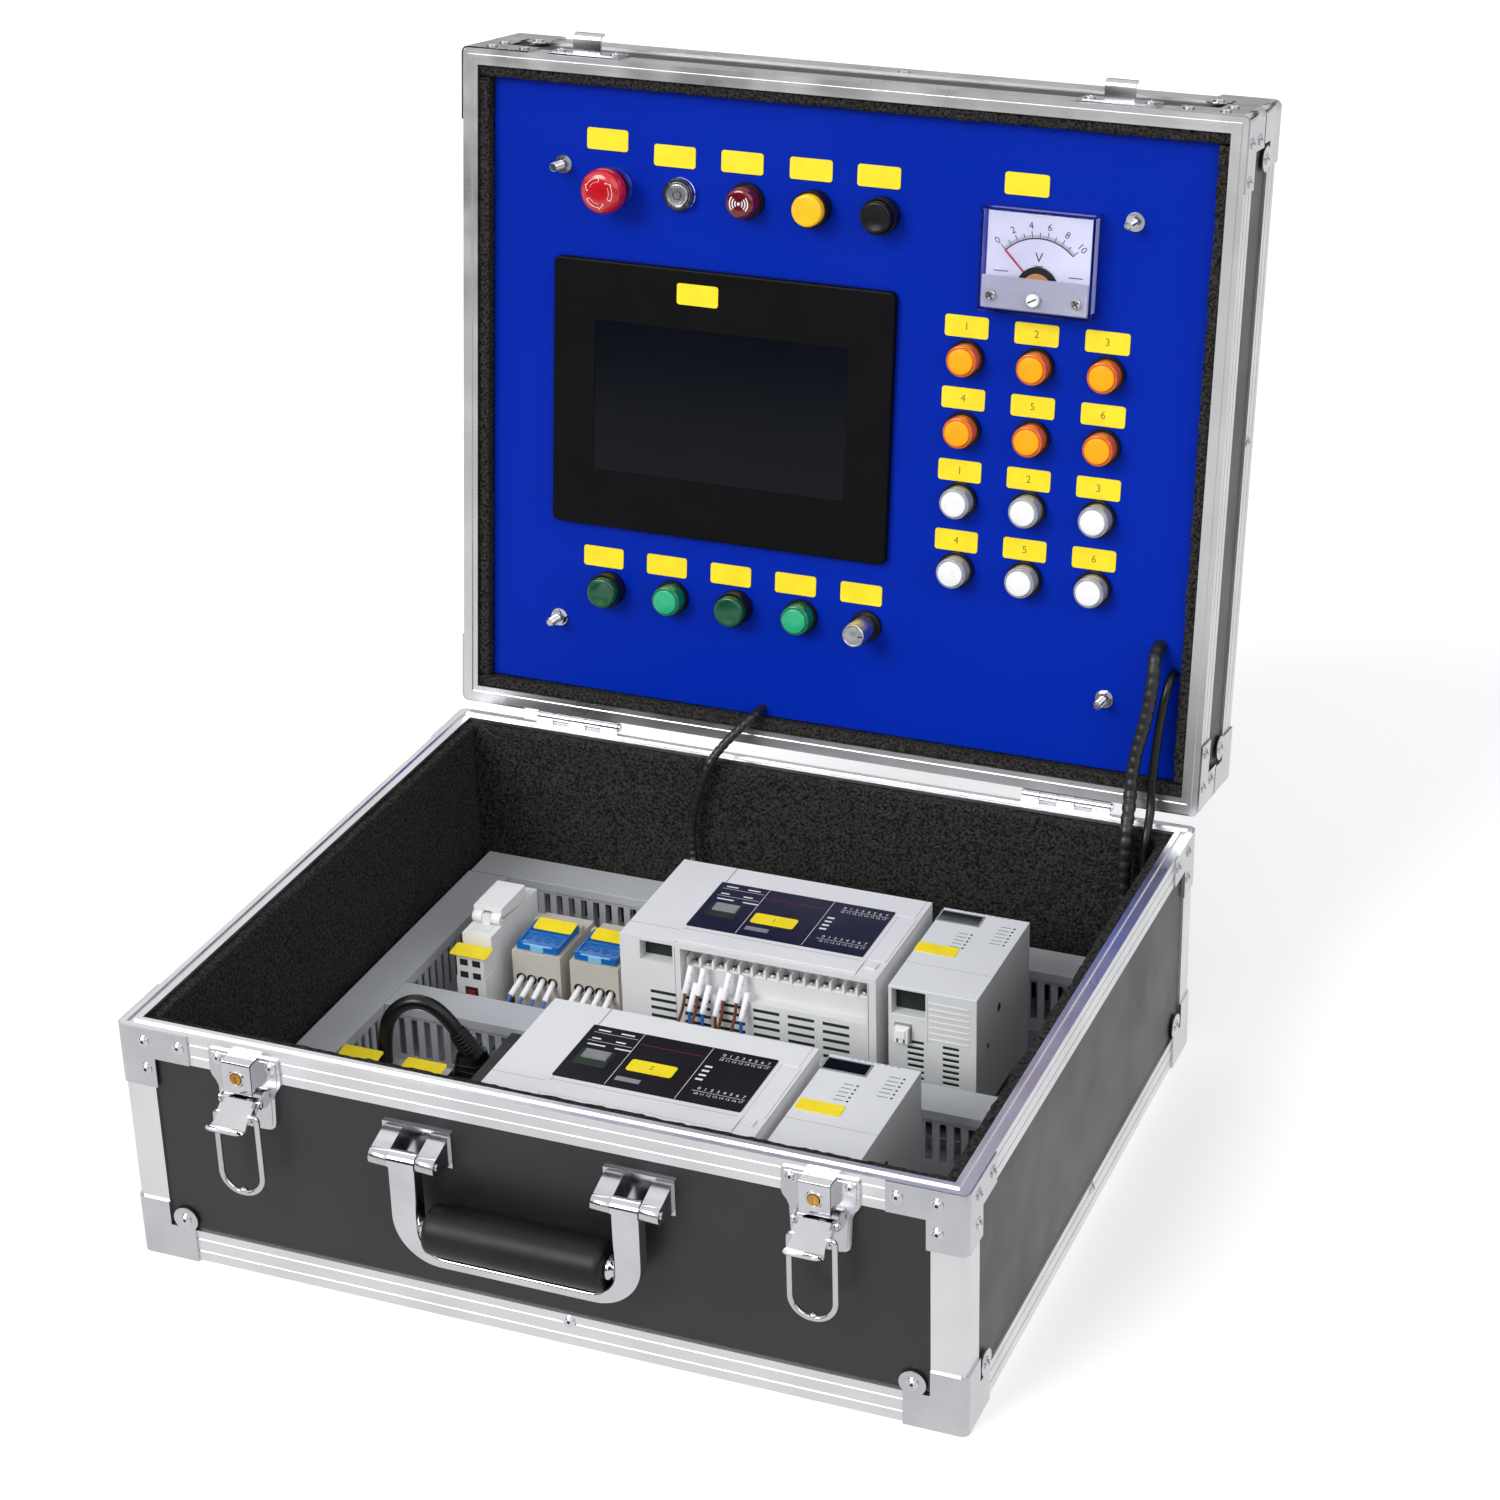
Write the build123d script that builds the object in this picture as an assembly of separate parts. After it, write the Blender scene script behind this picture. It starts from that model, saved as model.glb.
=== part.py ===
from build123d import *
import math
import os

# A teaching case for programmable controllers: a flight case whose base holds two controllers on
# rails and whose open lid holds a panel of buttons, lamps, a meter and a touch screen.
# Millimetres. x runs to the right, y to the back, z up; the origin is the middle of the underside.

# Case
case_width = 452.0
case_depth = 384.0
base_height = 137.5
lid_depth = 66.5
rim_gap = 0.5
open_angle = 97.79
panel_sheet = 5.0
foam_sheet = 7.6
soft_gap = 0.3

# Edge profiles, corner pieces and rivets
skin = 1.3
frame_radius = 3.0
profile_width = 18.0
rim_face = 17.0
rim_lip_width = 9.0
rim_lip_thickness = 2.0
rim_leg_depth = 14.0
groove_depth = 0.4
groove_width = 0.8
groove_shares = (0.3, 0.7)
tongue_height = 0.8
tongue_width = 2.4
seal_groove_width = 3.0
seal_groove_depth = 1.0
plate_steel = 1.0
bracket_arm = 40.0
bracket_drop = 34.0
bracket_leg = 20.0
cap_arm = 32.0
cap_height = 34.0
cap_leg_height = 20.0
cap_leg_width = 18.0
cap_lobe_radius = 7.0
cap_lobe_reach = 27.0
cap_lobe_height = 25.0
cap_chamfer = 24.0
rivet_radius = 3.2
rivet_shank_radius = 1.6
rivet_hole_radius = 0.9
rivet_flange = 0.6
rivet_dome = 0.6
rivet_dome_inset = 0.7
rivet_crown = 0.8
rivet_reaches = (14.4, 34.4)
rivet_drops = (7.65, 23.8)
front_rivet_x = 18.0
side_rivet_y = 9.0
edge_rivet_rise = 14.04
latch_rivet_reach = 15.0
latch_rivet_drop = 4.9
shank_clearance = 0.05

# Hinges
hinge_x = 151.0
hinge_width = 52.0
hinge_leaf = 1.2
hinge_leaf_height = 19.0
knuckle_radius = 3.2
knuckle_count = 5
knuckle_gap = 0.3
hinge_pin_radius = 1.2
pin_clearance = 0.05
hinge_offset = 3.6
hinge_rise = 2.4

# Latches
latch_x = 153.75
latch_plate_width = 40.0
latch_plate_drop = 3.1
latch_plate_length = 41.9
latch_neck_width = 32.0
latch_steel = 1.2
lock_cover_width = 16.0
lock_cover_depth = 8.0
lock_cover_length = 18.0
lock_cover_drop = 3.5
lock_cover_wall = 1.0
key_slot_height = 3.6
key_slot_width = 1.0
lock_radius = 3.0
lever_pivot_out = 6.5
lever_pivot_drop = 26.5
ear_radius = 3.0
lever_pin_radius = 1.2
lever_eye_radius = 2.6
lever_width = 19.2
lever_length = 15.5
lever_angle = 54.0
ear_gap = 0.8
bail_pivot = 8.0
bail_wire_radius = 1.6
bail_half_width = 11.6
bail_length = 46.0
bail_corner_radius = 11.2
bail_nib_radius = 2.2
keeper_width = 44.0
keeper_height = 19.0
keeper_hook_width = 17.0
keeper_hook_reach = 12.0
keeper_shelf = 8.3
keeper_lip = 6.2

# Handle
handle_x = 59.7
handle_pivot_out = 14.0
handle_pivot_drop = 36.5
handle_pin_radius = 2.0
handle_barrel_radius = 4.5
handle_barrel_length = 10.0
handle_leg_width = 14.8
handle_side_gap = 0.35
handle_depth = 10.0
handle_length = 56.5
handle_bar_thickness = 6.0
handle_corner_radius = 26.0
handle_inner_radius = 14.0
handle_edge_round = 2.0
handle_plate = 1.5
handle_plate_height = 20.0
grip_radius = 13.0
grip_length = 84.4
grip_drop = 36.7
grip_rod_radius = 4.0
grip_clearance = 0.1

# Mounting plate, rails and ducts
floor_foam = 3.0
plate_gap = 0.4
plate_steel_thickness = 1.5
plate_margin = 0.5
spacer_radius = 4.0
spacer_inset = 30.0
rail_width = 35.0
rail_height = 7.5
rail_steel = 1.0
rail_channel = 25.0
rear_rail_y = 81.0
front_rail_y = -84.0
rear_rail_ends = (-165.0, 165.0)
front_rail_ends = (-59.5, 165.0)
duct_width = 25.0
duct_height = 40.0
duct_wall = 1.2
duct_cover = 1.0
duct_cover_lip = 6.0
duct_slot_pitch = 8.0
duct_slot_width = 4.0
duct_slot_bottom = 8.0
duct_slot_top = 32.0
middle_duct_y = 7.5
rear_duct_wall_gap = 0.25
rear_duct_end_gaps = (4.5, 22.5)
middle_duct_end_gap = 5.5
left_duct_wall_gap = 3.7
left_duct_end_gap = 1.5
duct_corner_gap = 1.25
duct_joint_gap = 0.3

# Controllers and their expansion modules
controller_width = 150.0
controller_depth = 90.0
controller_height = 83.0
rail_seat = 4.5
rear_controller_x = 20.5
front_controller_x = 17.5
column_width = 33.0
module_width = 50.0
module_height = 81.5
rear_module_x = 127.5
front_module_x = 123.5
notch_clearance = 0.2
terminal_pitch = 7.62
terminal_count = 14
terminal_ledge = 66.0
terminal_panel = 12.0
terminal_inset = 7.0
terminal_cavity = 17.0
front_lip = 3.0
cover_reach = 19.2
cover_drop = 25.5
cover_sheet = 2.0
cover_pivot_drop = 1.5
cover_gap = 0.3
cover_end_wall = 3.0
cover_pip_radius = 1.0
port_inset = 12.0
port_depth = 14.0
port_low = 14.0
port_high = 2.0
louvre_rows = 8
louvre_columns = 6
louvre_start = 13.0
louvre_pitch = 5.1
louvre_length = 15.5
louvre_space = 4.8
louvre_overhang = 15.5
louvre_height = 2.2
louvre_depth = 3.0
module_port_inset = 2.0
module_port_width = 19.0
module_port_depth = 12.0
module_port_low = 17.0
module_port_high = 1.8
module_louvre_rows = 8
module_louvre_start = 22.0
module_louvre_pitch = 3.7
module_louvre_height = 1.8
module_louvre_insets = (11.0, 31.0)
module_louvre_length = 9.0

# Fuse holder and distribution blocks
fuse_x = -151.0
fuse_width = 18.0
fuse_pivot_y = 66.0
fuse_pivot_z = 75.5
fuse_lever_top = 82.0
fuse_lever_back = 97.0
fuse_lug = 5.0
fuse_pin_radius = 1.2
block_places = (-118.0, -82.0)
block_width = 30.0
block_front = 58.0
block_back = 104.0
block_top = 62.0
block_wire_height = 45.0
block_wire_pitch = 6.5
block_wire_count = 4
block_socket_radius = 2.9
block_socket_depth = 2.5
sleeve_radius = 1.7
wire_radius = 0.9
wire_drop = 5.5
block_cover_front = 60.0
block_cover_pivot_y = 89.5
block_cover_thickness = 3.2
block_cover_lift = 0.6

# Power supply, its lead and the network switch
supply_x = -150.0
supply_y = -87.0
supply_width = 60.0
supply_depth = 90.0
supply_height = 32.0
fuse_block_places = (-170.0, -133.0)
outlet_x = -109.5
outlet_y = -40.0
outlet_width = 20.0
outlet_depth = 30.0
outlet_height = 20.0
plug_height = 24.0
lead_radius = 4.0
switch_x = -78.5
switch_y = -52.0
switch_width = 37.0
switch_depth = 72.0
switch_height = 45.0
port_count = 5
port_size = 11.6

# Control panel in the lid
control_sheet = 3.0
control_recess = 8.0
control_margin = 0.5
stud_x = 167.0
stud_low_v = 57.0
stud_high_v = 323.0
stud_radius = 2.5
stud_reach = 14.0
nut_width = 8.0
nut_height = 4.0
upper_row_v = 313.0
lower_row_v = 79.0
column_pitch = 40.0
first_column_u = -135.0
lamp_columns_u = (77.0, 117.0, 157.0)
amber_rows_v = (239.5, 199.5)
white_rows_v = (159.5, 119.5)
device_hole_radius = 8.2
barrel_radius = 8.0
barrel_length = 26.0
ring_radius = 10.2
button_ring_height = 9.0
lamp_ring_height = 3.0
lamp_height = 13.0
lens_radius = 8.8
button_radius = 9.2
button_height = 14.0
button_clearance = 0.1
stem_radius = 3.0
power_ring_radius = 9.0
power_ring_height = 4.5
power_cap_radius = 6.4
power_cap_height = 6.0
stop_collar_height = 6.0
stop_head_radius = 12.8
stop_head_bottom = 11.0
stop_head_top = 23.0
knob_radius = 6.7
knob_bottom = 3.0
knob_top = 23.0
screen_u = -67.3
screen_v = 194.3
bezel_width = 206.0
bezel_height = 155.0
bezel_proud = 5.0
bezel_radius = 4.0
screen_width = 154.0
screen_height = 87.3
screen_recess = 1.6
screen_glass = 1.3
terminal_body_width = 190.0
terminal_body_height = 140.0
terminal_body_depth = 34.0
meter_u = 117.0
meter_v = 297.5
meter_width = 64.0
meter_height = 56.0
meter_proud = 14.0
meter_wall = 1.6
meter_body_radius = 25.0
meter_body_depth = 28.0
dial_height = 7.0
dial_margin = 1.0
needle_drop = 14.0
needle_length = 27.0
needle_rest_angle = 45.0
needle_pin_radius = 1.0

# What follows from the sizes above
back = case_depth / 2
right = case_width / 2
rim_z = base_height + rim_gap
floor_bottom = plate_steel + skin
floor_top = floor_bottom + panel_sheet
wall_inside = skin + panel_sheet
foam_start = wall_inside + skin + soft_gap
foam_end = foam_start + foam_sheet
foam_drop = 2.5
plate_bottom = floor_top + soft_gap + floor_foam + plate_gap
plate_top = plate_bottom + plate_steel_thickness
rail_top = plate_top + rail_height
seat_z = plate_top + rail_seat
hinge_y = back + hinge_offset
hinge_z = base_height + hinge_rise
latch_face = -back - latch_steel
latch_plate_top = base_height - latch_plate_drop
latch_plate_bottom = latch_plate_top - latch_plate_length
lock_cover_top = base_height - lock_cover_drop
lock_cover_bottom = lock_cover_top - lock_cover_length
lock_height = lock_cover_top - lock_cover_length / 2
lever_pivot_z = base_height - lever_pivot_drop
lever_y = -back - lever_pivot_out
handle_y = -back - handle_pivot_out
handle_pivot_z = base_height - handle_pivot_drop
handle_bottom = handle_pivot_z - handle_length
grip_z = handle_pivot_z - grip_drop
inner_x = right - foam_end
inner_y = back - foam_end
rear_duct_y = inner_y - rear_duct_wall_gap - duct_width / 2
rear_duct_ends = (-inner_x + rear_duct_end_gaps[0], inner_x - rear_duct_end_gaps[1])
left_duct_x = -inner_x + left_duct_wall_gap + duct_width / 2
left_duct_ends = (-inner_y + left_duct_end_gap, rear_duct_y - duct_width / 2 - duct_corner_gap)
middle_duct_ends = (left_duct_x + duct_width / 2 + duct_joint_gap, inner_x - middle_duct_end_gap)

closed_plane = Plane(origin=(0, back, rim_z), x_dir=(1, 0, 0), z_dir=(0, 0, -1))
swing = Pos(0, hinge_y, hinge_z) * Rot(-open_angle, 0, 0) * Pos(0, -hinge_y, -hinge_z)
lid_place = swing * closed_plane.location
lid_tray_place = lid_place * Pos(0, back, -lid_depth)


def box(x0, x1, y0, y1, z0, z1):
    """A block between two corners."""
    middle = Pos((x0 + x1) / 2, (y0 + y1) / 2, (z0 + z1) / 2)
    return middle * Box(x1 - x0, y1 - y0, z1 - z0)


def bar(start, end, radius):
    """A round bar from one point to another."""
    start, end = Vector(*start), Vector(*end)
    place = Plane(origin=(start + end) * 0.5, z_dir=end - start).location
    return place * Cylinder(radius, (end - start).length)


def disc(radius, z0, z1):
    """A round block about the z axis, between two heights."""
    return Pos(0, 0, (z0 + z1) / 2) * Cylinder(radius, z1 - z0)


def side_profile(points, x0, x1):
    """An outline of (y, z) points, drawn out along x."""
    outline = Plane.YZ * Polygon(*points, align=None)
    return Pos(x0, 0, 0) * extrude(outline, x1 - x0, dir=(1, 0, 0))


def slab(inset, z0, z1, radius=0.0):
    """The case's outline in plan, moved in by inset, between two heights."""
    width, depth = case_width - 2 * inset, case_depth - 2 * inset
    outline = RectangleRounded(width, depth, radius) if radius > 0 else Rectangle(width, depth)
    return Pos(0, 0, z0) * extrude(outline, z1 - z0)


def hoop(outer, inner, z0, z1, radius=0.0, inner_radius=0.0):
    """A band round the case between two insets and two heights."""
    return slab(outer, z0, z1, radius) - slab(inner, z0, z1, inner_radius)


def four_corners(piece):
    """A piece of the front right corner, with its mirror images in the other three."""
    pair = [piece, mirror(piece, Plane.XZ)]
    return pair + [mirror(each, Plane.YZ) for each in pair]


def solids_of(pieces):
    """Every solid of a list of shapes."""
    return [solid for piece in pieces for solid in piece.solids()]


def mitre_wedges(height):
    """One wedge for each side of the case, meeting on the diagonals of its corners."""
    spare, reach = 10.0, 60.0
    far_x, far_y = right + spare, back + spare
    near_x, near_y = far_x - reach, far_y - reach
    outer = [(-far_x, -far_y), (far_x, -far_y), (far_x, far_y), (-far_x, far_y)]
    inner = [(-near_x, -near_y), (near_x, -near_y), (near_x, near_y), (-near_x, near_y)]
    wedges = []
    for side in range(4):
        following = (side + 1) % 4
        outline = Polygon(outer[side], outer[following], inner[following], inner[side], align=None)
        wedges.append(Pos(0, 0, -spare) * extrude(outline, height + 2 * spare))
    return wedges


def tray_panels(height):
    """The floor and the four walls of the base or the lid."""
    top = height - rim_lip_thickness
    x, y = right - skin, back - skin
    inner_y = y - panel_sheet
    return [
        box(-x, x, -y, y, floor_bottom, floor_top),
        box(-x, x, -y, -inner_y, floor_top, top),
        box(-x, x, inner_y, y, floor_top, top),
        box(-x, -x + panel_sheet, -inner_y, inner_y, floor_top, top),
        box(x - panel_sheet, x, -inner_y, inner_y, floor_top, top),
    ]


def grooved(ring, heights):
    """A ring of edge profiles with fine grooves round its outside."""
    for z in heights:
        ring -= hoop(-1, groove_depth, z, z + groove_width, 0, frame_radius - groove_depth)
    return ring


def tray_frame(height, is_lid):
    """The mitred edge profiles along the bottom and the rim, and the posts between them."""
    low, high = plate_steel, plate_steel + profile_width
    lip = height - rim_lip_thickness
    bottom = slab(0, low, high, frame_radius) - slab(skin, floor_bottom, high)
    bottom -= slab(profile_width, low, floor_bottom)
    rim = hoop(0, skin, height - rim_face, lip, frame_radius)
    rim += hoop(0, rim_lip_width, lip, height, frame_radius)
    rim += hoop(wall_inside, wall_inside + skin, height - rim_leg_depth, lip)
    seal_middle = rim_lip_width / 2
    if is_lid:
        half = tongue_width / 2
        rim += hoop(seal_middle - half, seal_middle + half, height, height + tongue_height)
    else:
        half = seal_groove_width / 2
        rim -= hoop(seal_middle - half, seal_middle + half, height - seal_groove_depth, height)
    bottom = grooved(bottom, [low + share * profile_width for share in groove_shares])
    rim = grooved(rim, [height - share * rim_face for share in groove_shares])
    pieces = []
    for wedge in mitre_wedges(height):
        pieces += [bottom & wedge, rim & wedge]
    wall = hoop(0, skin, high, height - rim_face, frame_radius)
    corner = box(right - profile_width, right + 1, -back - 1, -back + profile_width, 0, height)
    return solids_of(pieces + four_corners(wall & corner))


def rivet():
    """A blind rivet with its seat at z = 0 and its shank below."""
    body = disc(rivet_radius, 0, rivet_flange)
    dome = Cone(rivet_radius - rivet_dome_inset, rivet_hole_radius + rivet_crown, rivet_dome)
    body += Pos(0, 0, rivet_flange + rivet_dome / 2) * dome
    body += disc(rivet_shank_radius, -plate_steel, 0)
    return body - disc(rivet_hole_radius, 0, rivet_flange + rivet_dome + 1)


def corner_rivet_places(height):
    """Where rivets go through the front right bracket and cap, and which way each one faces."""
    front, side = -back - plate_steel, right + plate_steel
    near, far = rivet_reaches
    high, low = rivet_drops
    places = []
    for reach, drop in ((near, high), (far, high), (near, low)):
        places.append(((right - reach, front, height - drop), (0, -1, 0)))
        places.append(((side, -back + reach, height - drop), (1, 0, 0)))
    places.append(((right - cap_lobe_reach, front, cap_lobe_height), (0, -1, 0)))
    places.append(((side, -back + cap_lobe_reach, cap_lobe_height), (1, 0, 0)))
    return places


def rivet_plane(place, facing):
    """Where a rivet sits, with its head on the side it faces."""
    return Plane(origin=place, z_dir=facing).location


def tray_corners(height):
    """The steel brackets at the rim and the steel caps at the bottom, on all four corners."""
    outer_radius = frame_radius + plate_steel
    shell = hoop(-plate_steel, 0, 0, height, outer_radius, frame_radius)
    edge_x, edge_y = right + plate_steel, -back - plate_steel
    arm = box(right - bracket_arm, edge_x, edge_y, -back + bracket_arm, height - rim_face, height)
    leg = box(right - bracket_leg, edge_x, edge_y, -back + bracket_leg, height - bracket_drop, height)
    bracket = shell & (arm + leg)
    pan = slab(-plate_steel, 0, cap_height, outer_radius) - slab(0, plate_steel, cap_height, frame_radius)
    x0, y0 = right - cap_arm, -back + cap_arm
    plan = Polygon((x0, edge_y), (edge_x, edge_y), (edge_x, y0), (x0 + cap_chamfer, y0),
                   (x0, y0 - cap_chamfer), align=None)
    region = extrude(plan, cap_leg_height)
    region += box(right - cap_leg_width, edge_x, edge_y, -back + cap_leg_width, 0, cap_height)
    lobe_x, lobe_y = right - cap_lobe_reach, -back + cap_lobe_reach
    region += bar((lobe_x, edge_y, cap_lobe_height), (lobe_x, -back, cap_lobe_height), cap_lobe_radius)
    region += bar((right, lobe_y, cap_lobe_height), (edge_x, lobe_y, cap_lobe_height), cap_lobe_radius)
    cap = pan & region
    for place, facing in corner_rivet_places(height):
        hole = rivet_plane(place, facing) * disc(rivet_shank_radius + shank_clearance, -plate_steel, 1)
        bracket -= hole
        cap -= hole
    return solids_of(four_corners(bracket) + four_corners(cap))


def tray_rivets(height):
    """The rivets of the brackets and caps, and one in the middle of each lower edge."""
    one = rivet()
    corner = Compound([solid for place, facing in corner_rivet_places(height)
                       for solid in (rivet_plane(place, facing) * one).solids()])
    pieces = four_corners(corner)
    headed = one - disc(rivet_shank_radius + 1, -plate_steel - 1, 0)
    x, y, z = front_rivet_x, side_rivet_y, plate_steel + edge_rivet_rise
    for place, facing in (((x, -back, z), (0, -1, 0)), ((right, y, z), (1, 0, 0)),
                          ((-right, y, z), (-1, 0, 0)), ((x, back, z), (0, 1, 0))):
        pieces.append(rivet_plane(place, facing) * headed)
    return solids_of(pieces)


def tray_foam(height):
    """The four foam walls inside the base or the lid."""
    bottom, top = floor_top + soft_gap, height - foam_drop
    x0, x1 = right - foam_start, right - foam_end
    y0, y1 = back - foam_start, back - foam_end
    side_y = y1 - soft_gap
    return [
        box(-x0, x0, -y0, -y1, bottom, top),
        box(-x0, x0, y1, y0, bottom, top),
        box(-x0, -x1, -side_y, side_y, bottom, top),
        box(x1, x0, -side_y, side_y, bottom, top),
    ]


# Hinges at the back

def knuckle_ends(index):
    """The ends along x of one knuckle of a hinge centred on x = 0."""
    width = hinge_width / knuckle_count
    start = -hinge_width / 2 + index * width
    return start + knuckle_gap / 2, start + width - knuckle_gap / 2


def hinge_leaf_solid(x, indexes, up):
    """One leaf with its knuckles: up is 1 for the lid's leaf, as it is when closed, or -1."""
    near = hinge_z + up * (knuckle_radius - 0.3)
    far = hinge_z + up * hinge_leaf_height
    face = back + hinge_leaf
    half = hinge_width / 2
    leaf = box(x - half, x + half, back, face, min(near, far), max(near, far))
    for index in indexes:
        x0, x1 = knuckle_ends(index)
        leaf += box(x + x0, x + x1, back, face, min(near, hinge_z), max(near, hinge_z))
        leaf += bar((x + x0, hinge_y, hinge_z), (x + x1, hinge_y, hinge_z), knuckle_radius)
    bore = hinge_pin_radius + pin_clearance
    return leaf - bar((x - half - 1, hinge_y, hinge_z), (x + half + 1, hinge_y, hinge_z), bore)


def hinge_leaves():
    base_leaves = [hinge_leaf_solid(x, (0, 2, 4), -1) for x in (-hinge_x, hinge_x)]
    lid_leaves = [swing * hinge_leaf_solid(x, (1, 3), 1) for x in (-hinge_x, hinge_x)]
    return base_leaves, lid_leaves


def hinge_pins():
    """Each pin runs through its knuckles and has a head at both ends."""
    half = hinge_width / 2
    head = 0.8
    pins = []
    for x in (-hinge_x, hinge_x):
        pin = bar((x - half - head, hinge_y, hinge_z), (x + half + head, hinge_y, hinge_z), hinge_pin_radius)
        for end, outer in ((x - half, x - half - head), (x + half, x + half + head)):
            pin += bar((end, hinge_y, hinge_z), (outer, hinge_y, hinge_z), hinge_pin_radius + 0.8)
        pins.append(pin)
    return pins


# Latches at the front

def latch_plate(x):
    """The base plate with its lock cover, the ears of the lever and the lever's pin."""
    half, neck = latch_plate_width / 2, latch_neck_width / 2
    step = base_height - rim_face
    plate = box(x - half, x + half, latch_face, -back, step, latch_plate_top)
    plate += box(x - neck, x + neck, latch_face, -back, latch_plate_bottom, step)
    plate += box(x - neck, x + neck, -back, -back + skin, latch_plate_bottom, step - 0.2)
    half_cover = lock_cover_width / 2
    front = latch_face - lock_cover_depth
    cover = box(x - half_cover, x + half_cover, front, latch_face, lock_cover_bottom, lock_cover_top)
    wall = lock_cover_wall
    cover -= box(x - half_cover + wall, x + half_cover - wall, front + wall, latch_face,
                 lock_cover_bottom + wall, lock_cover_top - wall)
    cover += bar((x, front, lock_height), (x, latch_face, lock_height), lock_radius + 1.5)
    bore = bar((x, front - 1, lock_height), (x, latch_face - 0.5, lock_height), lock_radius + 0.05)
    ears = []
    inner = lever_width / 2 + ear_gap
    for side in (-1, 1):
        x0, x1 = sorted((x + side * inner, x + side * (inner + latch_steel)))
        ear = box(x0, x1, lever_y, latch_face, lever_pivot_z - ear_radius, lever_pivot_z + ear_radius)
        ear += bar((x0, lever_y, lever_pivot_z), (x1, lever_y, lever_pivot_z), ear_radius)
        ears.append(ear)
    plate = plate + cover + ears[0] + ears[1] - bore
    reach = inner + latch_steel + 0.4
    pin_ends = (x - reach, lever_y, lever_pivot_z), (x + reach, lever_y, lever_pivot_z)
    pin = bar(*pin_ends, lever_pin_radius)
    return [plate - pin, pin]


def lock_barrel(x):
    """The brass barrel that a key turns in the lock cover."""
    front = latch_face - lock_cover_depth
    barrel = bar((x, front - 1, lock_height), (x, latch_face - 0.9, lock_height), lock_radius)
    half_width, half_height = key_slot_width / 2, key_slot_height / 2
    return barrel - box(x - half_width, x + half_width, front - 2, front + 1,
                        lock_height - half_height, lock_height + half_height)


def lever_place(x):
    return Pos(x, lever_y, lever_pivot_z) * Rot(-lever_angle, 0, 0)


def latch_lever(x):
    """The lever, drawn hanging straight down from its pivot and then raised to its angle."""
    half = lever_width / 2
    front = -lever_eye_radius
    lever = bar((-half, 0, 0), (half, 0, 0), lever_eye_radius)
    lever += box(-half, half, front, front + latch_steel, -lever_length, 0)
    for side in (-1, 1):
        x0, x1 = sorted((side * half, side * (half - 1.7)))
        lever += box(x0, x1, front, lever_eye_radius, -bail_pivot - 2.6, 0)
    lip = bar((-half, front - 4, -lever_length), (half, front - 4, -lever_length), 4 + latch_steel)
    lip -= bar((-half - 1, front - 4, -lever_length), (half + 1, front - 4, -lever_length), 4)
    lip &= box(-half, half, front - 3.2, front + 4, -lever_length - 8, -lever_length)
    lever += lip
    lever -= bar((-half - 1, 0, 0), (half + 1, 0, 0), lever_pin_radius + pin_clearance)
    hole = bail_wire_radius + pin_clearance
    lever -= bar((-half - 1, 0, -bail_pivot), (half + 1, 0, -bail_pivot), hole)
    return lever_place(x) * lever


def bail_origin(x):
    """The bail's pivot, on the raised lever."""
    angle = math.radians(lever_angle)
    return (x, lever_y - bail_pivot * math.sin(angle), lever_pivot_z - bail_pivot * math.cos(angle))


def latch_bail(x):
    """The wire bail, which hangs straight down from the lever."""
    turned_in = lever_width / 2 - 1.9
    w, drop = bail_half_width, bail_length
    points = [(-turned_in, 0, 0), (-w, 0, 0), (-w, 0, -drop), (w, 0, -drop), (w, 0, 0), (turned_in, 0, 0)]
    path = FilletPolyline(*points, radius=[2.2, bail_corner_radius, bail_corner_radius, 2.2])
    start = Plane(origin=points[0], z_dir=(-1, 0, 0))
    bail = sweep(start * Circle(bail_wire_radius), path=path)
    bail += Pos(0, 0, -drop + 1) * Sphere(bail_nib_radius)
    return Pos(*bail_origin(x)) * bail


def latch_keeper(x):
    """The hook plate on the lid's front face, in the lid tray's own frame."""
    half, hook = keeper_width / 2, keeper_hook_width / 2
    top = lid_depth - 0.5
    keeper = box(x - half, x + half, back, back + latch_steel, top - keeper_height, top)
    shelf_z = lid_depth - keeper_shelf
    tip = back + keeper_hook_reach
    hooked = box(x - hook, x + hook, back, tip, shelf_z - 1.5, shelf_z)
    hooked += box(x - hook, x + hook, tip - 1.5, tip, shelf_z - keeper_lip, shelf_z)
    return keeper + hooked


# Handle at the front

def handle_bracket(x):
    """A base plate on the front wall with two barrels, and the pin through them."""
    outer = handle_leg_width / 2 + handle_side_gap + handle_barrel_length
    wall = -back + skin
    z0 = handle_pivot_z + 1 - handle_plate_height / 2
    face = wall - handle_plate
    plate = box(x - outer - 1, x + outer + 1, face, wall, z0, z0 + handle_plate_height)
    for side in (-1, 1):
        x0, x1 = sorted((x + side * outer, x + side * (outer - handle_barrel_length)))
        plate += bar((x0, handle_y, handle_pivot_z), (x1, handle_y, handle_pivot_z), handle_barrel_radius)
        plate += side_profile([(face, z0 + 2), (handle_y, handle_pivot_z - handle_barrel_radius),
                               (handle_y, handle_pivot_z + handle_barrel_radius),
                               (face, z0 + handle_plate_height - 2)], x0, x1)
    reach = outer + 0.8
    pin = bar((x - reach, handle_y, handle_pivot_z), (x + reach, handle_y, handle_pivot_z), handle_pin_radius)
    return [plate - pin, pin]


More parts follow.
